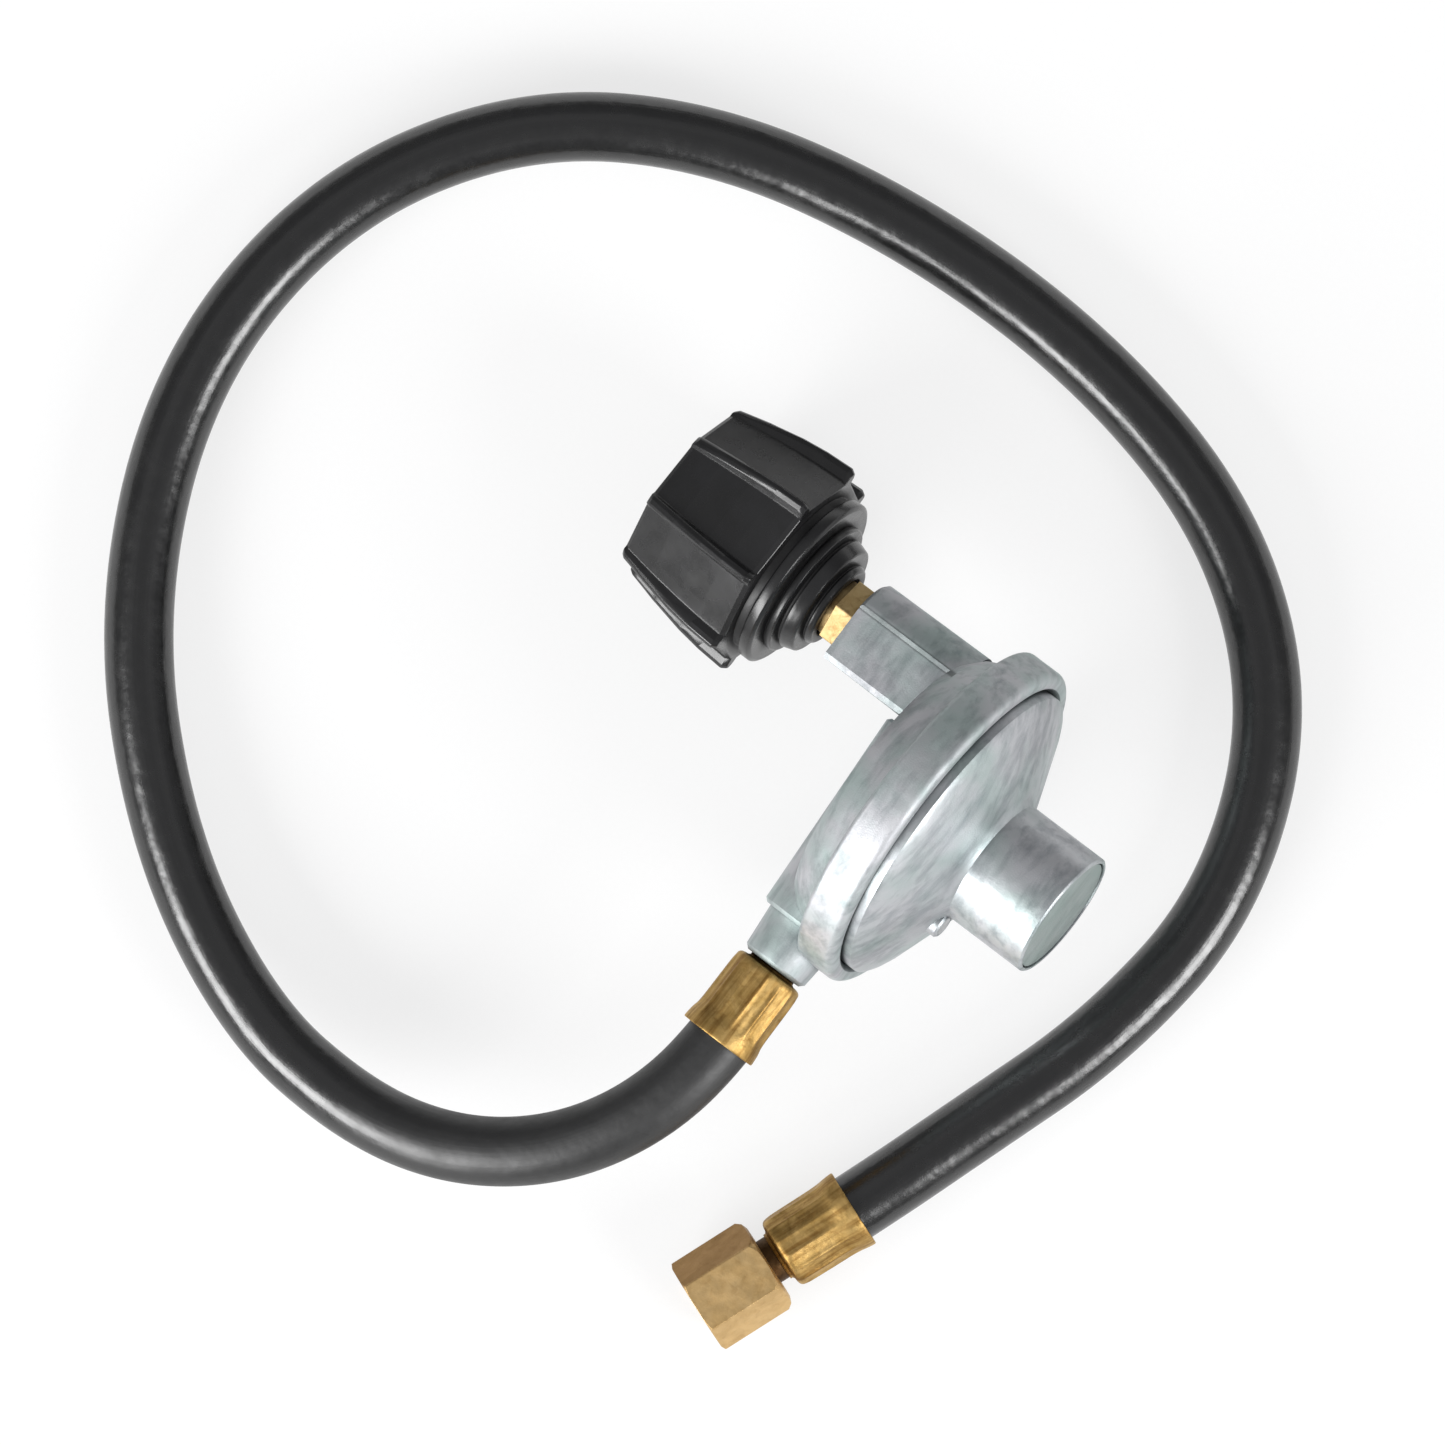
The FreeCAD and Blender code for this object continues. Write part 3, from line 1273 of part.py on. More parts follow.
regulator = {
    "regulator_body": make_regulator_body(),
    "bonnet": make_bonnet(),
    "bonnet_cap": make_bonnet_cap(),
    "vent_screen": make_vent_screen(),
    "adjusting_screw": make_adjusting_screw(),
    "main_spring": make_main_spring(),
    "diaphragm": make_diaphragm(),
    "diaphragm_plate": make_diaphragm_plate(),
    "diaphragm_washer": make_diaphragm_washer(),
    "diaphragm_stem": make_diaphragm_stem(),
    "lever": make_lever(),
    "lever_pin": make_lever_pin(),
    "valve_plunger": make_valve_plunger(),
    "seat_disc": make_seat_disc(),
    "orifice": make_orifice(),
    "inlet_nipple": make_inlet_nipple(),
    "nose_seal": make_nose_seal(),
    "check_retainer": make_check_retainer(),
    "flow_poppet": make_flow_poppet(),
    "check_spring": make_check_spring(),
    "coupling_nut": make_coupling_nut(),
    "thermal_bushing": make_thermal_bushing(),
    "outlet_insert": make_outlet_insert(),
    "outlet_ferrule": make_ferrule("outlet_ferrule"),
}
hose_end_pieces = {
    "flare_stem": make_flare_stem(),
    "flare_ferrule": make_ferrule("flare_ferrule"),
    "flare_nut": make_flare_nut(),
}

# The outlet's pieces turn from +X to -Y, and go to the end of the neck.
outlet = Placement(
    Vector(size("outlet_place"), size("ferrule_start"), 0), Rotation(Vector(0, 0, 1), -90)
)
place_all((regulator["outlet_insert"], regulator["outlet_ferrule"]), outlet)

# The regulator leans on its rim and its coupling nut.
lean = Placement(Vector(0, 0, height), Rotation(Vector(0, 1, 0), -math.degrees(tilt)))
place_all(regulator.values(), lean)

# The hose runs from the outlet to the flare fitting, which lies on a flat of its nut.
hose_begin = lean.multVec(Vector(size("outlet_place"), size("hose_start"), 0))
route = hose_route(hose_begin, size("flare_flats") / 2)
hose = make_hose(route)
last_run = (route[-1] - route[-2]).normalize()
heading = math.degrees(math.atan2(-last_run.y, -last_run.x))
closed_end = route[-1] + last_run * (size("ferrule_face") + size("seat_gap"))
place_all(
    hose_end_pieces.values(), Placement(closed_end, Rotation(Vector(0, 0, 1), heading))
)

# The origin goes under the middle of the regulator's outline.
middle = middle_of([made.Shape for made in regulator.values()])
nodes.update(regulator)
nodes["hose"] = hose
nodes.update(hose_end_pieces)
place_all(nodes.values(), Placement(middle * -1, Rotation()))
print("under the diaphragm's middle: X", round(-middle.x, 3), "Y", round(-middle.y, 3))
doc.recompute()
check(nodes)

os.makedirs("parts", exist_ok=True)
for label, made in nodes.items():
    made.Shape.exportStep(f"parts/{label}.step")
print(len(nodes), "pieces written")
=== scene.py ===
"""Looks of the propane regulator and its hose. Everything is in metres, in the frame of the solids."""

import math

import bmesh
import bpy
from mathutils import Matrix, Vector, noise


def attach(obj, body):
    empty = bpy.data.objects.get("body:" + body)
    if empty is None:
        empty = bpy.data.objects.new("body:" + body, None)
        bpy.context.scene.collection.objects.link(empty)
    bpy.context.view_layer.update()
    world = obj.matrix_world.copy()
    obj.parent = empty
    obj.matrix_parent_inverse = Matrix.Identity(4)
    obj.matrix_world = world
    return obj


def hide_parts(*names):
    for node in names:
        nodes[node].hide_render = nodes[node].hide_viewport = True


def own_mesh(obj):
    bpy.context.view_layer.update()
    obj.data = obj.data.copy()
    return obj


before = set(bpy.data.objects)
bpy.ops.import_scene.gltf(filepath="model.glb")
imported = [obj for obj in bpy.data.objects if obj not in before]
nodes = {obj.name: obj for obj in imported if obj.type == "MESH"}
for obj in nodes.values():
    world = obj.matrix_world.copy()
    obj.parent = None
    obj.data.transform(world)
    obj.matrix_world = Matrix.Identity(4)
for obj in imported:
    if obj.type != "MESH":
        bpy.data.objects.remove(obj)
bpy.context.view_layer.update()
scene = bpy.context.scene

MM = 0.001
UP = Vector((0.0, 0.0, 1.0))
WHITE = (1.0, 1.0, 1.0)


# Camera: high above the table and looking straight down, turned as the photograph is.
CAMERA_PLACE = (-0.022436, -0.00273, 3.7)
CAMERA_TURN = math.radians(37.2)
FOCAL_LENGTH = 424.0

camera_data = bpy.data.cameras.new("camera")
camera_data.sensor_width = 36.0
camera_data.lens = FOCAL_LENGTH
camera_data.clip_start = 0.1
camera_data.clip_end = 20.0
camera = bpy.data.objects.new("camera", camera_data)
camera.location = CAMERA_PLACE
camera.rotation_euler = (0.0, 0.0, CAMERA_TURN)
scene.collection.objects.link(camera)
scene.camera = camera


# The regulator's own origin, and how far its axis leans up from the table towards the tower.
AXIS = Vector((30.164, 8.37, 41.749)) * MM
LEAN = math.radians(13.353)


def leaned(x, y, z):
    """A place on the regulator, given in millimetres along its own leaning directions."""
    c, s = math.cos(LEAN), math.sin(LEAN)
    return AXIS + Vector((x * c - z * s, y, x * s + z * c)) * MM


# The hose's route: out of the ferrule on the regulator, down to the table, round it and back.
ROUTE = (
    (0.018100, -0.039670, 0.038880),
    (0.019100, -0.059600, 0.038300),
    (0.014900, -0.080900, 0.036500),
    (0.003800, -0.099100, 0.032000),
    (-0.013400, -0.112000, 0.026000),
    (-0.034900, -0.117700, 0.019000),
    (-0.065000, -0.115800, 0.012500),
    (-0.103100, -0.097100, 0.008800),
    (-0.139300, -0.062000, 0.007600),
    (-0.161100, -0.014000, 0.007600),
    (-0.159300, 0.034800, 0.007600),
    (-0.136800, 0.074400, 0.007600),
    (-0.100836, 0.097870, 0.007600),
    (-0.053836, 0.108370, 0.007600),
    (-0.004336, 0.108870, 0.007600),
    (0.040164, 0.097870, 0.007600),
    (0.072664, 0.071870, 0.007600),
    (0.088664, 0.032370, 0.007600),
    (0.085164, -0.006630, 0.008000),
    (0.073664, -0.040630, 0.008900),
    (0.065464, -0.065130, 0.009525),
    (0.057564, -0.086430, 0.009525),
)
HOSE_RADIUS = 0.00755
HOSE_STEP = 0.0015
HOSE_SIDES = 48

# The way the flare fittings point from the hose's end, and two places along it.
HEADING = Vector((-0.34774, -0.93759, 0.0)).normalized()
HEADING_TURN = math.atan2(HEADING.y, HEADING.x)
HOSE_END = Vector(ROUTE[-1])
FLARE_FERRULE_CLOSED = HOSE_END + HEADING * 0.00152
NUT_MIDDLE = HOSE_END + HEADING * 0.01294


def spline_points(route):
    """The points of the smooth line that has the route as its control points."""
    curve = bpy.data.curves.new("route", "CURVE")
    curve.dimensions = "3D"
    curve.resolution_u = 24
    spline = curve.splines.new("NURBS")
    spline.points.add(len(route) - 1)
    for point, place in zip(spline.points, route):
        point.co = (*place, 1.0)
    spline.order_u = 3
    spline.use_endpoint_u = True
    holder = bpy.data.objects.new("route", curve)
    mesh = bpy.data.meshes.new_from_object(holder)
    points = [vertex.co.copy() for vertex in mesh.vertices]
    bpy.data.objects.remove(holder)
    bpy.data.curves.remove(curve)
    bpy.data.meshes.remove(mesh)
    return points


def even_points(points, step):
    """The same line with its points at even distances, and the line's length."""
    places = [0.0]
    for a, b in zip(points, points[1:]):
        places.append(places[-1] + (b - a).length)
    count = max(2, round(places[-1] / step))
    even, index = [], 0
    for number in range(count + 1):
        place = places[-1] * number / count
        while index < len(points) - 2 and places[index + 1] < place:
            index += 1
        span = places[index + 1] - places[index]
        share = (place - places[index]) / span if span else 0.0
        even.append(points[index].lerp(points[index + 1], min(1.0, share)))
    return even, places[-1]


def frames_along(points, up):
    """A place, a side and an upward way at each point of a line, turning as little as it can."""
    result = []
    side = None
    for index, point in enumerate(points):
        before = points[max(0, index - 1)]
        after = points[min(len(points) - 1, index + 1)]
        ahead = (after - before).normalized()
        if side is None:
            side = up.cross(ahead).normalized()
        side = (side - ahead * side.dot(ahead)).normalized()
        result.append((point, side, ahead.cross(side)))
    return result


# A tube's texture runs from 0 to 1 round it, and by 1 for every wrap length along it.
WRAP_LENGTH = 0.1


def skin(name, stations, sides, radius_at, cap_ends=True, wrap_length=WRAP_LENGTH):
    """A tube through stations, whose radius is radius_at(station number, angle)."""
    bm = bmesh.new()
    uv_layer = bm.loops.layers.uv.new("along")
    travelled = [0.0]
    for (a, _, _), (b, _, _) in zip(stations, stations[1:]):
        travelled.append(travelled[-1] + (b - a).length)
    rings = []
    for number, (place, side, up) in enumerate(stations):
        ring = []
        for turn in range(sides):
            angle = 2.0 * math.pi * turn / sides
            radius = radius_at(number, angle)
            across, above = radius * math.cos(angle), radius * math.sin(angle)
            ring.append(bm.verts.new(place + side * across + up * above))
        rings.append(ring)
    for number, (ring, following) in enumerate(zip(rings, rings[1:])):
        for turn in range(sides):
            onward = (turn + 1) % sides
            face = bm.faces.new((ring[turn], ring[onward], following[onward], following[turn]))
            marks = ((turn, number), (turn + 1, number), (turn + 1, number + 1), (turn, number + 1))
            for loop, (across, along) in zip(face.loops, marks):
                loop[uv_layer].uv = (across / sides, travelled[along] / wrap_length)
    if cap_ends:
        for ring in (rings[0], rings[-1]):
            bm.faces.new(ring)
    bmesh.ops.recalc_face_normals(bm, faces=bm.faces)
    mesh = bpy.data.meshes.new(name)
    bm.to_mesh(mesh)
    bm.free()
    return mesh


def link(name, mesh, material, body):
    """Puts a mesh into the scene on its body, with smooth faces."""
    for polygon in mesh.polygons:
        polygon.use_smooth = True
    mesh.materials.append(material)
    piece = bpy.data.objects.new(name, mesh)
    scene.collection.objects.link(piece)
    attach(piece, body)
    return piece


class Shader:
    """A material of nodes, with short calls for the nodes that this scene uses."""

    def __init__(self, name, **fixed):
        self.material = bpy.data.materials.new(name)
        self.material.use_nodes = True
        self.tree = self.material.node_tree
        self.tree.nodes.clear()
        self.bsdf = self.tree.nodes.new("ShaderNodeBsdfPrincipled")
        self.output = self.tree.nodes.new("ShaderNodeOutputMaterial")
        self.tree.links.new(self.bsdf.outputs[0], self.output.inputs[0])
        for socket, value in fixed.items():
            self.bsdf.inputs[socket.replace("_", " ")].default_value = value
        self.coordinates = self.tree.nodes.new("ShaderNodeTexCoord")

    def put(self, socket, target):
        """Links a socket to another one, or gives it a value."""
        if isinstance(target, bpy.types.NodeSocket):
            self.tree.links.new(target, socket)
        elif target is not None:
            socket.default_value = target

    def places(self, scale=(1.0, 1.0, 1.0), turn=(0.0, 0.0, 0.0), shift=(0.0, 0.0, 0.0), kind="Object"):
        """Coordinates with their origin at shift, turned, and multiplied by scale."""
        mapping = self.tree.nodes.new("ShaderNodeMapping")
        mapping.vector_type = "TEXTURE"
        mapping.inputs["Location"].default_value = shift
        mapping.inputs["Rotation"].default_value = turn
        mapping.inputs["Scale"].default_value = [1.0 / value for value in scale]
        self.tree.links.new(self.coordinates.outputs[kind], mapping.inputs["Vector"])
        return mapping.outputs[0]

    def split(self, vector):
        """The three coordinates of a vector."""
        node = self.tree.nodes.new("ShaderNodeSeparateXYZ")
        self.tree.links.new(vector, node.inputs[0])
        return node.outputs

    def noise(self, vector, scale, detail=4.0, roughness=0.5, distortion=0.0):
        node = self.tree.nodes.new("ShaderNodeTexNoise")
        self.tree.links.new(vector, node.inputs["Vector"])
        node.inputs["Scale"].default_value = scale
        node.inputs["Detail"].default_value = detail
        node.inputs["Roughness"].default_value = roughness
        node.inputs["Distortion"].default_value = distortion
        return node.outputs["Fac"]

    def ramp(self, factor, *stops):
        """Colours, or plain numbers, at places between 0 and 1."""
        node = self.tree.nodes.new("ShaderNodeValToRGB")
        for element, (position, colour) in zip(node.color_ramp.elements, stops):
            element.position = position
            if not hasattr(colour, "__len__"):
                colour = (colour, colour, colour)
            element.color = (*colour, 1.0)
        self.tree.links.new(factor, node.inputs[0])
        return node.outputs[0]

    def mix(self, factor, first, second, kind="MIX"):
        node = self.tree.nodes.new("ShaderNodeMix")
        node.data_type = "RGBA"
        node.blend_type = kind
        self.put(node.inputs[0], factor)
        for socket, target in ((node.inputs[6], first), (node.inputs[7], second)):
            if hasattr(target, "__len__") and not isinstance(target, bpy.types.NodeSocket):
                target = (*target, 1.0)
            self.put(socket, target)
        return node.outputs[2]

    def math(self, operation, first, second=None):
        node = self.tree.nodes.new("ShaderNodeMath")
        node.operation = operation
        self.put(node.inputs[0], first)
        self.put(node.inputs[1], second)
        return node.outputs[0]

    def share(self, distance, whole):
        """A distance as a share of a whole, so that a ramp can follow it."""
        return self.math("MULTIPLY", distance, 1.0 / whole)

    def crevices(self, reach):
        """Near 1 on open surface and near 0 deep in a seam or corner."""
        node = self.tree.nodes.new("ShaderNodeAmbientOcclusion")
        node.samples = 8
        node.inputs["Distance"].default_value = reach
        return node.outputs["AO"]

    def shade_corners(self, colour, reach, deep, shade_colour, open_at):
        """A colour darkened by painted shade in seams and corners: full at the deep end and gone at the
        open end.
        """
        corner_shade = self.ramp(self.crevices(reach), (deep, shade_colour), (open_at, WHITE))
        return self.mix(1.0, colour, corner_shade, "MULTIPLY")

    def bump(self, height, distance, strength=1.0, under=None):
        node = self.tree.nodes.new("ShaderNodeBump")
        node.inputs["Strength"].default_value = strength
        node.inputs["Distance"].default_value = distance
        self.tree.links.new(height, node.inputs["Height"])
        if under is not None:
            self.tree.links.new(under, node.inputs["Normal"])
        return node.outputs[0]

    def whiten(self, share):
        """Shows a share of the surface as plain white to the camera, to metal and to glass."""
        rays = self.tree.nodes.new("ShaderNodeLightPath")
        seen = rays.outputs["Is Camera Ray"]
        for kind in ("Is Glossy Ray", "Is Transmission Ray"):
            seen = self.math("MAXIMUM", seen, rays.outputs[kind])
        white = self.tree.nodes.new("ShaderNodeEmission")
        blend = self.tree.nodes.new("ShaderNodeMixShader")
        self.tree.links.new(self.math("MULTIPLY", seen, share), blend.inputs[0])
        self.tree.links.new(self.bsdf.outputs[0], blend.inputs[1])
        self.tree.links.new(white.outputs[0], blend.inputs[2])
        self.tree.links.new(blend.outputs[0], self.output.inputs[0])

    def set(self, **links):
        """Links sockets of the surface, and gives the finished material."""
        for socket, target in links.items():
            self.tree.links.new(target, self.bsdf.inputs[socket.replace("_", " ")])
        return self.material


# Painted shade darkens the step beside the boss's flat: how far to the side of the regulator's axis it
# lies, how far back it begins, and the width that its fading is measured by.
STEP_ASIDE = 0.0269
STEP_BACK = -0.0150
STEP_WIDTH = 0.002


def zinc(name, cool, warm, dark, rough, shaded_step=False):
    """Cast zinc: cool and warm clouds, faint smears and fine grain, with painted shade in its corners
    and, if asked, on the step beside the boss's flat.
    """
    shader = Shader(name, Metallic=0.9)
    place = shader.places()
    clouds = shader.noise(place, 70.0, 3.0, 0.55, 0.1)
    smears = shader.noise(shader.places(scale=(1.0, 0.22, 1.0)), 300.0, 5.0, 0.65, 0.2)
    tint = shader.ramp(clouds, (0.36, cool), (0.60, warm))
    shade = shader.ramp(smears, (0.33, dark), (0.55, WHITE))
    colour = shader.mix(0.68, tint, shade, "MULTIPLY")
    # Painted shade: darker in narrow seams and corners, and more broadly in hollows.
    colour = shader.shade_corners(colour, 0.0022, 0.30, (0.22, 0.23, 0.23), 0.72)
    colour = shader.shade_corners(colour, 0.009, 0.40, (0.60, 0.62, 0.63), 0.92)
    if shaded_step:
        # Painted shade: a dark band over the step beside the boss's flat, hiding the highlight it would
        # catch.
        own = shader.split(shader.places(shift=AXIS, turn=(0.0, -LEAN, 0.0)))
        away = shader.math("ABSOLUTE", shader.math("SUBTRACT", own["Y"], STEP_ASIDE))
        beside = shader.math("LESS_THAN", own["X"], STEP_BACK)
        band = shader.ramp(shader.share(away, STEP_WIDTH), (0.22, 1.0), (0.45, 0.0))
        step_shade = shader.math("MULTIPLY", shader.math("MULTIPLY", band, beside), 0.75)
        colour = shader.mix(step_shade, colour, (0.10, 0.11, 0.11))
    roughness = shader.ramp(shader.noise(place, 160.0, 4.0, 0.6), (0.3, rough[0]), (0.7, rough[1]))
    swell = shader.bump(shader.noise(place, 120.0, 2.0, 0.5), 0.0010, 0.36)
    relief = shader.bump(shader.noise(place, 2600.0, 2.0, 0.6), 0.00012, 0.35, swell)
    return shader.set(Base_Color=colour, Roughness=roughness, Normal=relief)


# Painted shade darkens the stem's neck, between the nut and the ferrule, and one side of the nut.
# Each is measured from its place along or across the heading, as a share of a length.
NECK_LENGTH = 0.010
NUT_BREADTH = 0.0125


def brass(name, light, deep, dark, rough, swell=0.4, mottle=0.7, lines=False, shaded_neck=False, shaded_side=False):
    """Brass: light and deep patches, mottled tarnish, painted shade in its corners, and if asked drawn
    lines, a painted shade on the stem's neck and a painted shade on one side of the nut.
    """
    shader = Shader(name, Metallic=1.0)
    place = shader.places()
    patches = shader.noise(place, 180.0, 4.0, 0.6, 0.8)
    tarnish = shader.noise(place, 420.0, 5.0, 0.65, 1.0)
    tint = shader.ramp(patches, (0.35, deep), (0.62, light))
    shade = shader.ramp(tarnish, (0.30, dark), (0.50, WHITE))
    colour = shader.mix(mottle, tint, shade, "MULTIPLY")
    if lines:
        streaks = shader.noise(shader.places(scale=(26.0, 0.7, 1.0), kind="UV"), 1.0, 3.0, 0.6)
        drawn = shader.ramp(streaks, (0.36, (0.46, 0.36, 0.24)), (0.54, WHITE))
        colour = shader.mix(0.8, colour, drawn, "MULTIPLY")
    if shaded_neck:
        # Painted shade on the stem's neck, between the nut and the ferrule.
        own = shader.split(shader.places(shift=HOSE_END, turn=(0.0, 0.0, HEADING_TURN)))
        neck_shade = shader.ramp(shader.share(own["X"], NECK_LENGTH), (0.40, (0.16, 0.12, 0.10)), (0.46, WHITE))
        colour = shader.mix(1.0, colour, neck_shade, "MULTIPLY")
    if shaded_side:
        # Painted shade: one side of the flare nut is made darker and browner.
        own = shader.split(shader.places(shift=NUT_MIDDLE, turn=(0.0, 0.0, HEADING_TURN - math.pi / 2.0)))
        side = shader.ramp(shader.share(own["X"], NUT_BREADTH), (0.41, WHITE), (0.46, (0.52, 0.45, 0.38)))
        colour = shader.mix(1.0, colour, side, "MULTIPLY")
    # Painted shade: darker in seams and corners.
    colour = shader.shade_corners(colour, 0.0030, 0.15, (0.20, 0.12, 0.06), 0.55)
    roughness = shader.ramp(shader.noise(place, 300.0, 4.0, 0.6), (0.3, rough[0]), (0.7, rough[1]))
    soft = shader.bump(shader.noise(place, 260.0, 3.0, 0.5), 0.0005, swell)
    relief = shader.bump(shader.noise(place, 3200.0, 2.0, 0.6), 0.00006, 0.3, soft)
    return shader.set(Base_Color=colour, Roughness=roughness, Normal=relief)


def plastic(name, base, pale, rough, swell=0.35, grain=0.25, dull_feet=False):
    """Moulded plastic with a faint haze; dirt may take the shine at the feet of its ribs."""
    shader = Shader(name, IOR=1.55)
    place = shader.places()
    haze = shader.noise(place, 110.0, 4.0, 0.6, 0.5)
    colour = shader.ramp(haze, (0.35, base), (0.70, pale))
    roughness = shader.ramp(shader.noise(place, 210.0, 2.0, 0.5), (0.2, rough[0]), (0.8, rough[1]))
    if dull_feet:
        foot = shader.ramp(shader.crevices(0.0035), (0.35, 0.34), (0.88, 0.0))
        roughness = shader.mix(1.0, roughness, foot, "ADD")
    soft = shader.bump(shader.noise(place, 190.0, 2.0, 0.5), 0.0004, swell)
    relief = shader.bump(shader.noise(place, 2400.0, 3.0, 0.6), 0.00008, grain, soft)
    return shader.set(Base_Color=colour, Roughness=roughness, Normal=relief)


# The hose is duller where it leaves the regulator; the fading is measured as a share of this.
DULL_LENGTH = 0.2


def rubber(name):
    """Black hose rubber with drawn streaks, specks of dust and a duller first stretch."""
    shader = Shader(name, IOR=1.7)
    place = shader.places()
    streaks = shader.noise(shader.places(scale=(60.0, 1.2, 1.0), kind="UV"), 1.0, 4.0, 0.6)
    dust = shader.noise(place, 900.0, 5.0, 0.7)
    base = shader.ramp(streaks, (0.3, (0.0035, 0.0035, 0.0036)), (0.7, (0.0062, 0.0064, 0.0064)))
    specks = shader.ramp(dust, (0.62, (0.0, 0.0, 0.0)), (0.80, (0.009, 0.009, 0.0088)))
    colour = shader.mix(1.0, base, specks, "ADD")
    travelled = shader.split(shader.coordinates.outputs["UV"])["Y"]
    dull = shader.ramp(shader.share(travelled, DULL_LENGTH / WRAP_LENGTH), (0.42, 0.24), (0.58, 0.0))
    gloss = shader.ramp(shader.noise(place, 260.0, 4.0, 0.65), (0.3, 0.20), (0.72, 0.31))
    roughness = shader.mix(1.0, gloss, dull, "ADD")
    soft = shader.bump(shader.noise(place, 95.0, 3.0, 0.55), 0.0009, 0.35)
    lines = shader.bump(streaks, 0.00010, 0.35, soft)
    relief = shader.bump(shader.noise(place, 2800.0, 2.0, 0.5), 0.00005, 0.25, lines)
    return shader.set(Base_Color=colour, Roughness=roughness, Normal=relief)


def steel(name, base, rough):
    """Plain steel under a thin, uneven film."""
    shader = Shader(name, Metallic=1.0)
    place = shader.places()
    film = shader.noise(place, 300.0, 4.0, 0.6)
    colour = shader.ramp(film, (0.3, [value * 0.75 for value in base]), (0.7, base))
    roughness = shader.ramp(shader.noise(place, 500.0, 3.0, 0.6), (0.3, rough[0]), (0.7, rough[1]))
    relief = shader.bump(shader.noise(place, 2200.0, 2.0, 0.5), 0.00005, 0.3)
    return shader.set(Base_Color=colour, Roughness=roughness, Normal=relief)


body_zinc = zinc(
    "body_zinc",
    cool=(0.45, 0.52, 0.51),
    warm=(0.555, 0.56, 0.58),
    dark=(0.56, 0.59, 0.60),
    rough=(0.54, 0.66),
    shaded_step=True,
)
bonnet_zinc = zinc(
    "bonnet_zinc",
    cool=(0.44, 0.50, 0.495),
    warm=(0.54, 0.55, 0.57),
    dark=(0.52, 0.55, 0.57),
    rough=(0.40, 0.54),
)
cap_zinc = zinc(
    "cap_zinc",
    cool=(0.35, 0.42, 0.40),
    warm=(0.41, 0.46, 0.45),
    dark=(0.72, 0.77, 0.77),
    rough=(0.44, 0.56),
)
nut_plastic = plastic(
    "nut_plastic",
    base=(0.008, 0.008, 0.008),
    pale=(0.013, 0.013, 0.014),
    rough=(0.24, 0.32),
    swell=0.10,
    grain=0.12,
    dull_feet=True,
)
bushing_plastic = plastic(
    "bushing_plastic", base=(0.016, 0.015, 0.015), pale=(0.024, 0.023, 0.023), rough=(0.38, 0.50)
)
white_plastic = plastic(
    "white_plastic", base=(0.62, 0.61, 0.57), pale=(0.72, 0.71, 0.68), rough=(0.35, 0.48)
)
soft_rubber = plastic(
    "soft_rubber", base=(0.010, 0.010, 0.010), pale=(0.018, 0.018, 0.018), rough=(0.45, 0.60)
)
hose_rubber = rubber("hose_rubber")
fitting_brass = brass(
    "fitting_brass",
    light=(0.66, 0.51, 0.27),
    deep=(0.54, 0.39, 0.18),
    dark=(0.50, 0.40, 0.28),
    rough=(0.60, 0.74),
)
stem_brass = brass(
    "stem_brass",
    light=(0.62, 0.46, 0.24),
    deep=(0.50, 0.35, 0.16),
    dark=(0.50, 0.42, 0.35),
    rough=(0.46, 0.60),
    shaded_neck=True,
)
ferrule_brass = brass(
    "ferrule_brass",
    light=(0.56, 0.375, 0.140),
    deep=(0.41, 0.26, 0.083),
    dark=(0.50, 0.38, 0.25),
    rough=(0.44, 0.60),
    swell=0.5,
    mottle=0.5,
    lines=True,
)
flare_brass = brass(
    "flare_brass",
    light=(0.68, 0.47, 0.22),
    deep=(0.58, 0.39, 0.17),
    dark=(0.66, 0.56, 0.42),
    rough=(0.42, 0.54),
    swell=0.3,
    mottle=0.35,
    shaded_side=True,
)
bright_steel = steel("bright_steel", base=(0.56, 0.57, 0.58), rough=(0.25, 0.42))
spring_steel = steel("spring_steel", base=(0.42, 0.42, 0.43), rough=(0.22, 0.36))

FINISHES = {
    "regulator_body": body_zinc,
    "bonnet": bonnet_zinc,
    "bonnet_cap": cap_zinc,
    "coupling_nut": nut_plastic,
    "thermal_bushing": bushing_plastic,
    "inlet_nipple": fitting_brass,
    "nose_seal": soft_rubber,
    "check_retainer": fitting_brass,
    "flow_poppet": white_plastic,
    "check_spring": spring_steel,
    "orifice": fitting_brass,
    "valve_plunger": fitting_brass,
    "seat_disc": soft_rubber,
    "lever": bright_steel,
    "lever_pin": bright_steel,
    "diaphragm": soft_rubber,
    "diaphragm_plate": bright_steel,
    "diaphragm_washer": bright_steel,
    "diaphragm_stem": white_plastic,
    "main_spring": spring_steel,
    "adjusting_screw": white_plastic,
    "vent_screen": bright_steel,
    "outlet_insert": fitting_brass,
    "flare_stem": stem_brass,
    "flare_nut": flare_brass,
}
for name, material in FINISHES.items():
    for slot in nodes[name].material_slots:
        slot.material = material

# A small rounding on the sharp edges of the castings, the hand nut and the brass fittings.
ROUNDINGS = {
    "regulator_body": 0.00035,
    "bonnet": 0.00035,
    "bonnet_cap": 0.00025,
    "coupling_nut": 0.0008,
    "flare_nut": 0.00045,
    "inlet_nipple": 0.0002,
}
SAME_PLACE = 2e-6
SHARP_EDGE = math.radians(32.0)
for name, width in ROUNDINGS.items():
    weld = nodes[name].modifiers.new("weld", "WELD")
    weld.merge_threshold = SAME_PLACE
    bevel = nodes[name].modifiers.new("rounding", "BEVEL")
    bevel.width = width
    bevel.segments = 2
    bevel.limit_method = "ANGLE"
    bevel.angle_limit = SHARP_EDGE
    bevel.harden_normals = False


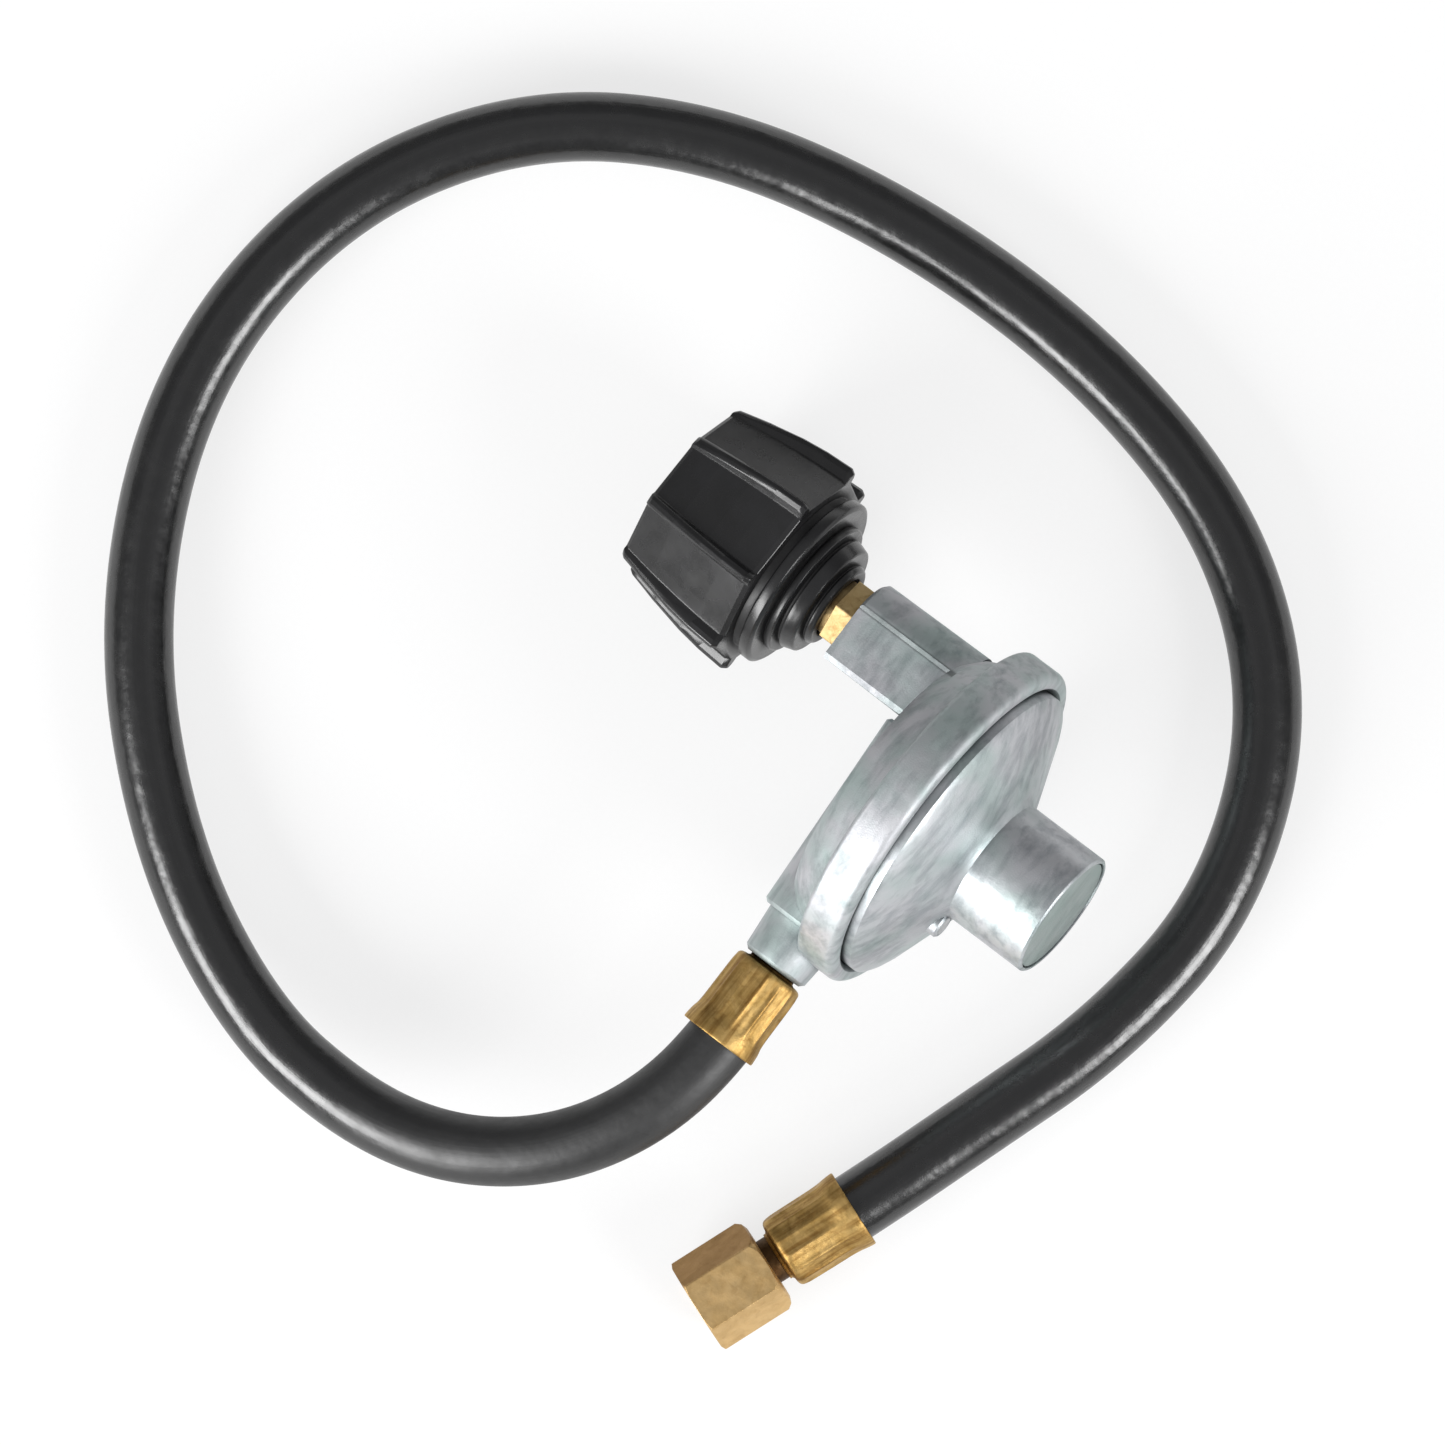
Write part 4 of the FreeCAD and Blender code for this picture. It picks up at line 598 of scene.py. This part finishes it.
# Hose.
hose_line, hose_length = even_points(spline_points(ROUTE), HOSE_STEP)
hose_stations = frames_along(hose_line, UP)
hose_mesh = skin("hose", hose_stations, HOSE_SIDES, lambda number, angle: HOSE_RADIUS)
hose = link("hose_tube", hose_mesh, hose_rubber, "regulator")
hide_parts("hose")


# Ferrules: a thin brass sleeve, crimped by fourteen dies, with a flared lip at the hose's side.
FERRULE_LENGTH = 0.01972
FERRULE_SIDES = 192
DIES = 14
DIE_DEPTH = 0.00040
DIE_FACE = 0.30
LIP_START = 0.8
UNEVEN_LIP = 0.00008
UNEVEN_SLEEVE = 0.00003
# Share of the way from the closed end, radius, and how far the dies have pressed there.
FERRULE_STATIONS = (
    (0.000, 0.00430, 0.0),
    (0.000, 0.00560, 0.0),
    (0.026, 0.00565, 0.0),
    (0.040, 0.00610, 0.0),
    (0.044, 0.00680, 0.0),
    (0.052, 0.00740, 0.0),
    (0.066, 0.00785, 0.0),
    (0.088, 0.00815, 0.1),
    (0.125, 0.00832, 0.4),
    (0.160, 0.00840, 0.8),
    (0.210, 0.00845, 1.0),
    (0.330, 0.00848, 1.0),
    (0.450, 0.00850, 1.0),
    (0.570, 0.00851, 1.0),
    (0.680, 0.00853, 1.0),
    (0.750, 0.00858, 0.8),
    (0.795, 0.00866, 0.4),
    (0.835, 0.00876, 0.1),
    (0.880, 0.00888, 0.0),
    (0.930, 0.00898, 0.0),
    (0.965, 0.00903, 0.0),
    (0.985, 0.00904, 0.0),
    (0.997, 0.00898, 0.0),
    (1.000, 0.00888, 0.0),
    (0.994, 0.00875, 0.0),
    (0.975, 0.00860, 0.0),
    (0.930, 0.00840, 0.0),
    (0.850, 0.00800, 0.0),
    (0.800, 0.00760, 0.0),
)


def crimp(angle, turned):
    """How deep a die has pressed at an angle: full over its face, and nothing between two dies."""
    place = ((angle + turned) * DIES / (2.0 * math.pi)) % 1.0
    away = abs(place - 0.5) * 2.0
    return 1.0 - max(0.0, min(1.0, (away - DIE_FACE) / (1.0 - DIE_FACE))) ** 2.0


def make_ferrule(name, node, closed, lip_way, turned, seed):
    """A ferrule from its closed end along the hose, its crimp lines a little uneven."""
    side = UP.cross(lip_way).normalized()
    over = lip_way.cross(side)
    stations = []
    for share, _, _ in FERRULE_STATIONS:
        stations.append((closed + lip_way * (FERRULE_LENGTH * share), side, over))

    def radius_at(number, angle):
        share, base, pressed = FERRULE_STATIONS[number]
        wave = noise.noise(Vector((math.cos(angle) * 1.7, math.sin(angle) * 1.7, share * 3.0 + seed)))
        depth = DIE_DEPTH * pressed * crimp(angle, turned)
        uneven = UNEVEN_LIP if share > LIP_START else UNEVEN_SLEEVE
        return base - depth + uneven * wave

    mesh = skin(name, stations, FERRULE_SIDES, radius_at, cap_ends=False, wrap_length=FERRULE_LENGTH)
    piece = link(name, mesh, ferrule_brass, "regulator")
    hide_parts(node)
    return piece


make_ferrule(
    "outlet_ferrule_crimped",
    "outlet_ferrule",
    closed=leaned(-12.4, -46.52, 0.0),
    lip_way=Vector((0.0, -1.0, 0.0)),
    turned=0.25,
    seed=3.0,
)
flare_ferrule = make_ferrule(
    "flare_ferrule_crimped",
    "flare_ferrule",
    closed=FLARE_FERRULE_CLOSED,
    lip_way=-HEADING,
    turned=0.1,
    seed=11.0,
)


def make_spring(name, node):
    """A steel copy of a spring's mesh, put in the spring's place with a mesh of its own."""
    mesh = nodes[node].data.copy()
    mesh.materials.clear()
    piece = link(name, mesh, spring_steel, "regulator")
    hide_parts(node)
    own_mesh(piece)


# The main spring is 22.88 mm long and gives 1.6 mm, the check spring 14.64 mm and 2.5 mm.
make_spring(
    "main_spring_coils", "main_spring"
)
make_spring(
    "check_spring_coils", "check_spring"
)


# Floor: white paper, just under the object.
floor_mesh = bpy.data.meshes.new("floor")
floor_mesh.from_pydata([(-3, -3, 0), (3, -3, 0), (3, 3, 0), (-3, 3, 0)], [], [(0, 1, 2, 3)])
floor_shader = Shader("floor_white", Roughness=0.9)
paper = floor_shader.noise(floor_shader.places(), 900.0, 3.0, 0.5)
floor_shader.set(Base_Color=floor_shader.ramp(paper, (0.3, 0.86), (0.7, 0.89)))
floor_shader.whiten(0.75)
floor_mesh.materials.append(floor_shader.material)
floor = bpy.data.objects.new("floor", floor_mesh)
floor.location = (0.0, 0.0, -0.0002)
scene.collection.objects.link(floor)


# Lights: two softboxes at the same distance, and a dim studio all round.
LIGHT_TARGET = Vector((0.0, 0.0, 0.02))
LIGHT_DISTANCE = 2.4


def softbox(name, heading, elevation, width, height, brightness):
    """A soft light that looks at the regulator from a heading and an elevation in degrees."""
    light = bpy.data.lights.new(name, "AREA")
    light.shape = "RECTANGLE"
    light.size = width
    light.size_y = height
    light.energy = brightness * math.pi * width * height
    lamp = bpy.data.objects.new(name, light)
    turn, rise = math.radians(heading), math.radians(elevation)
    way = Vector((math.cos(turn) * math.cos(rise), math.sin(turn) * math.cos(rise), math.sin(rise)))
    lamp.location = LIGHT_TARGET + way * LIGHT_DISTANCE
    lamp.rotation_euler = (-way).to_track_quat("-Z", "Y").to_euler()
    scene.collection.objects.link(lamp)


softbox("left_softbox", heading=254.0, elevation=29.0, width=1.90, height=1.00, brightness=13.0)
softbox("right_softbox", heading=1.0, elevation=30.0, width=0.95, height=1.10, brightness=12.5)

# The studio's brightness by height: its lowest and highest, and two places between.
STUDIO_ENDS = ((0.22, 0.22, 0.22, 1.0), (0.36, 0.36, 0.37, 1.0))
STUDIO_BETWEEN = ((0.60, (0.25, 0.25, 0.26, 1.0)), (0.82, (0.48, 0.48, 0.49, 1.0)))

world = bpy.data.worlds.new("studio")
world.use_nodes = True
tree = world.node_tree
tree.nodes.clear()
way = tree.nodes.new("ShaderNodeTexCoord")
parts = tree.nodes.new("ShaderNodeSeparateXYZ")
height_ramp = tree.nodes.new("ShaderNodeValToRGB")
background = tree.nodes.new("ShaderNodeBackground")
result = tree.nodes.new("ShaderNodeOutputWorld")
elements = height_ramp.color_ramp.elements
for element, colour in zip(elements, STUDIO_ENDS):
    element.color = colour
for position, colour in STUDIO_BETWEEN:
    elements.new(position).color = colour
tree.links.new(way.outputs["Generated"], parts.inputs[0])
tree.links.new(parts.outputs["Z"], height_ramp.inputs[0])
tree.links.new(height_ramp.outputs[0], background.inputs["Color"])
tree.links.new(background.outputs[0], result.inputs[0])
scene.world = world
scene.view_settings.view_transform = "Standard"
scene.view_settings.look = "None"
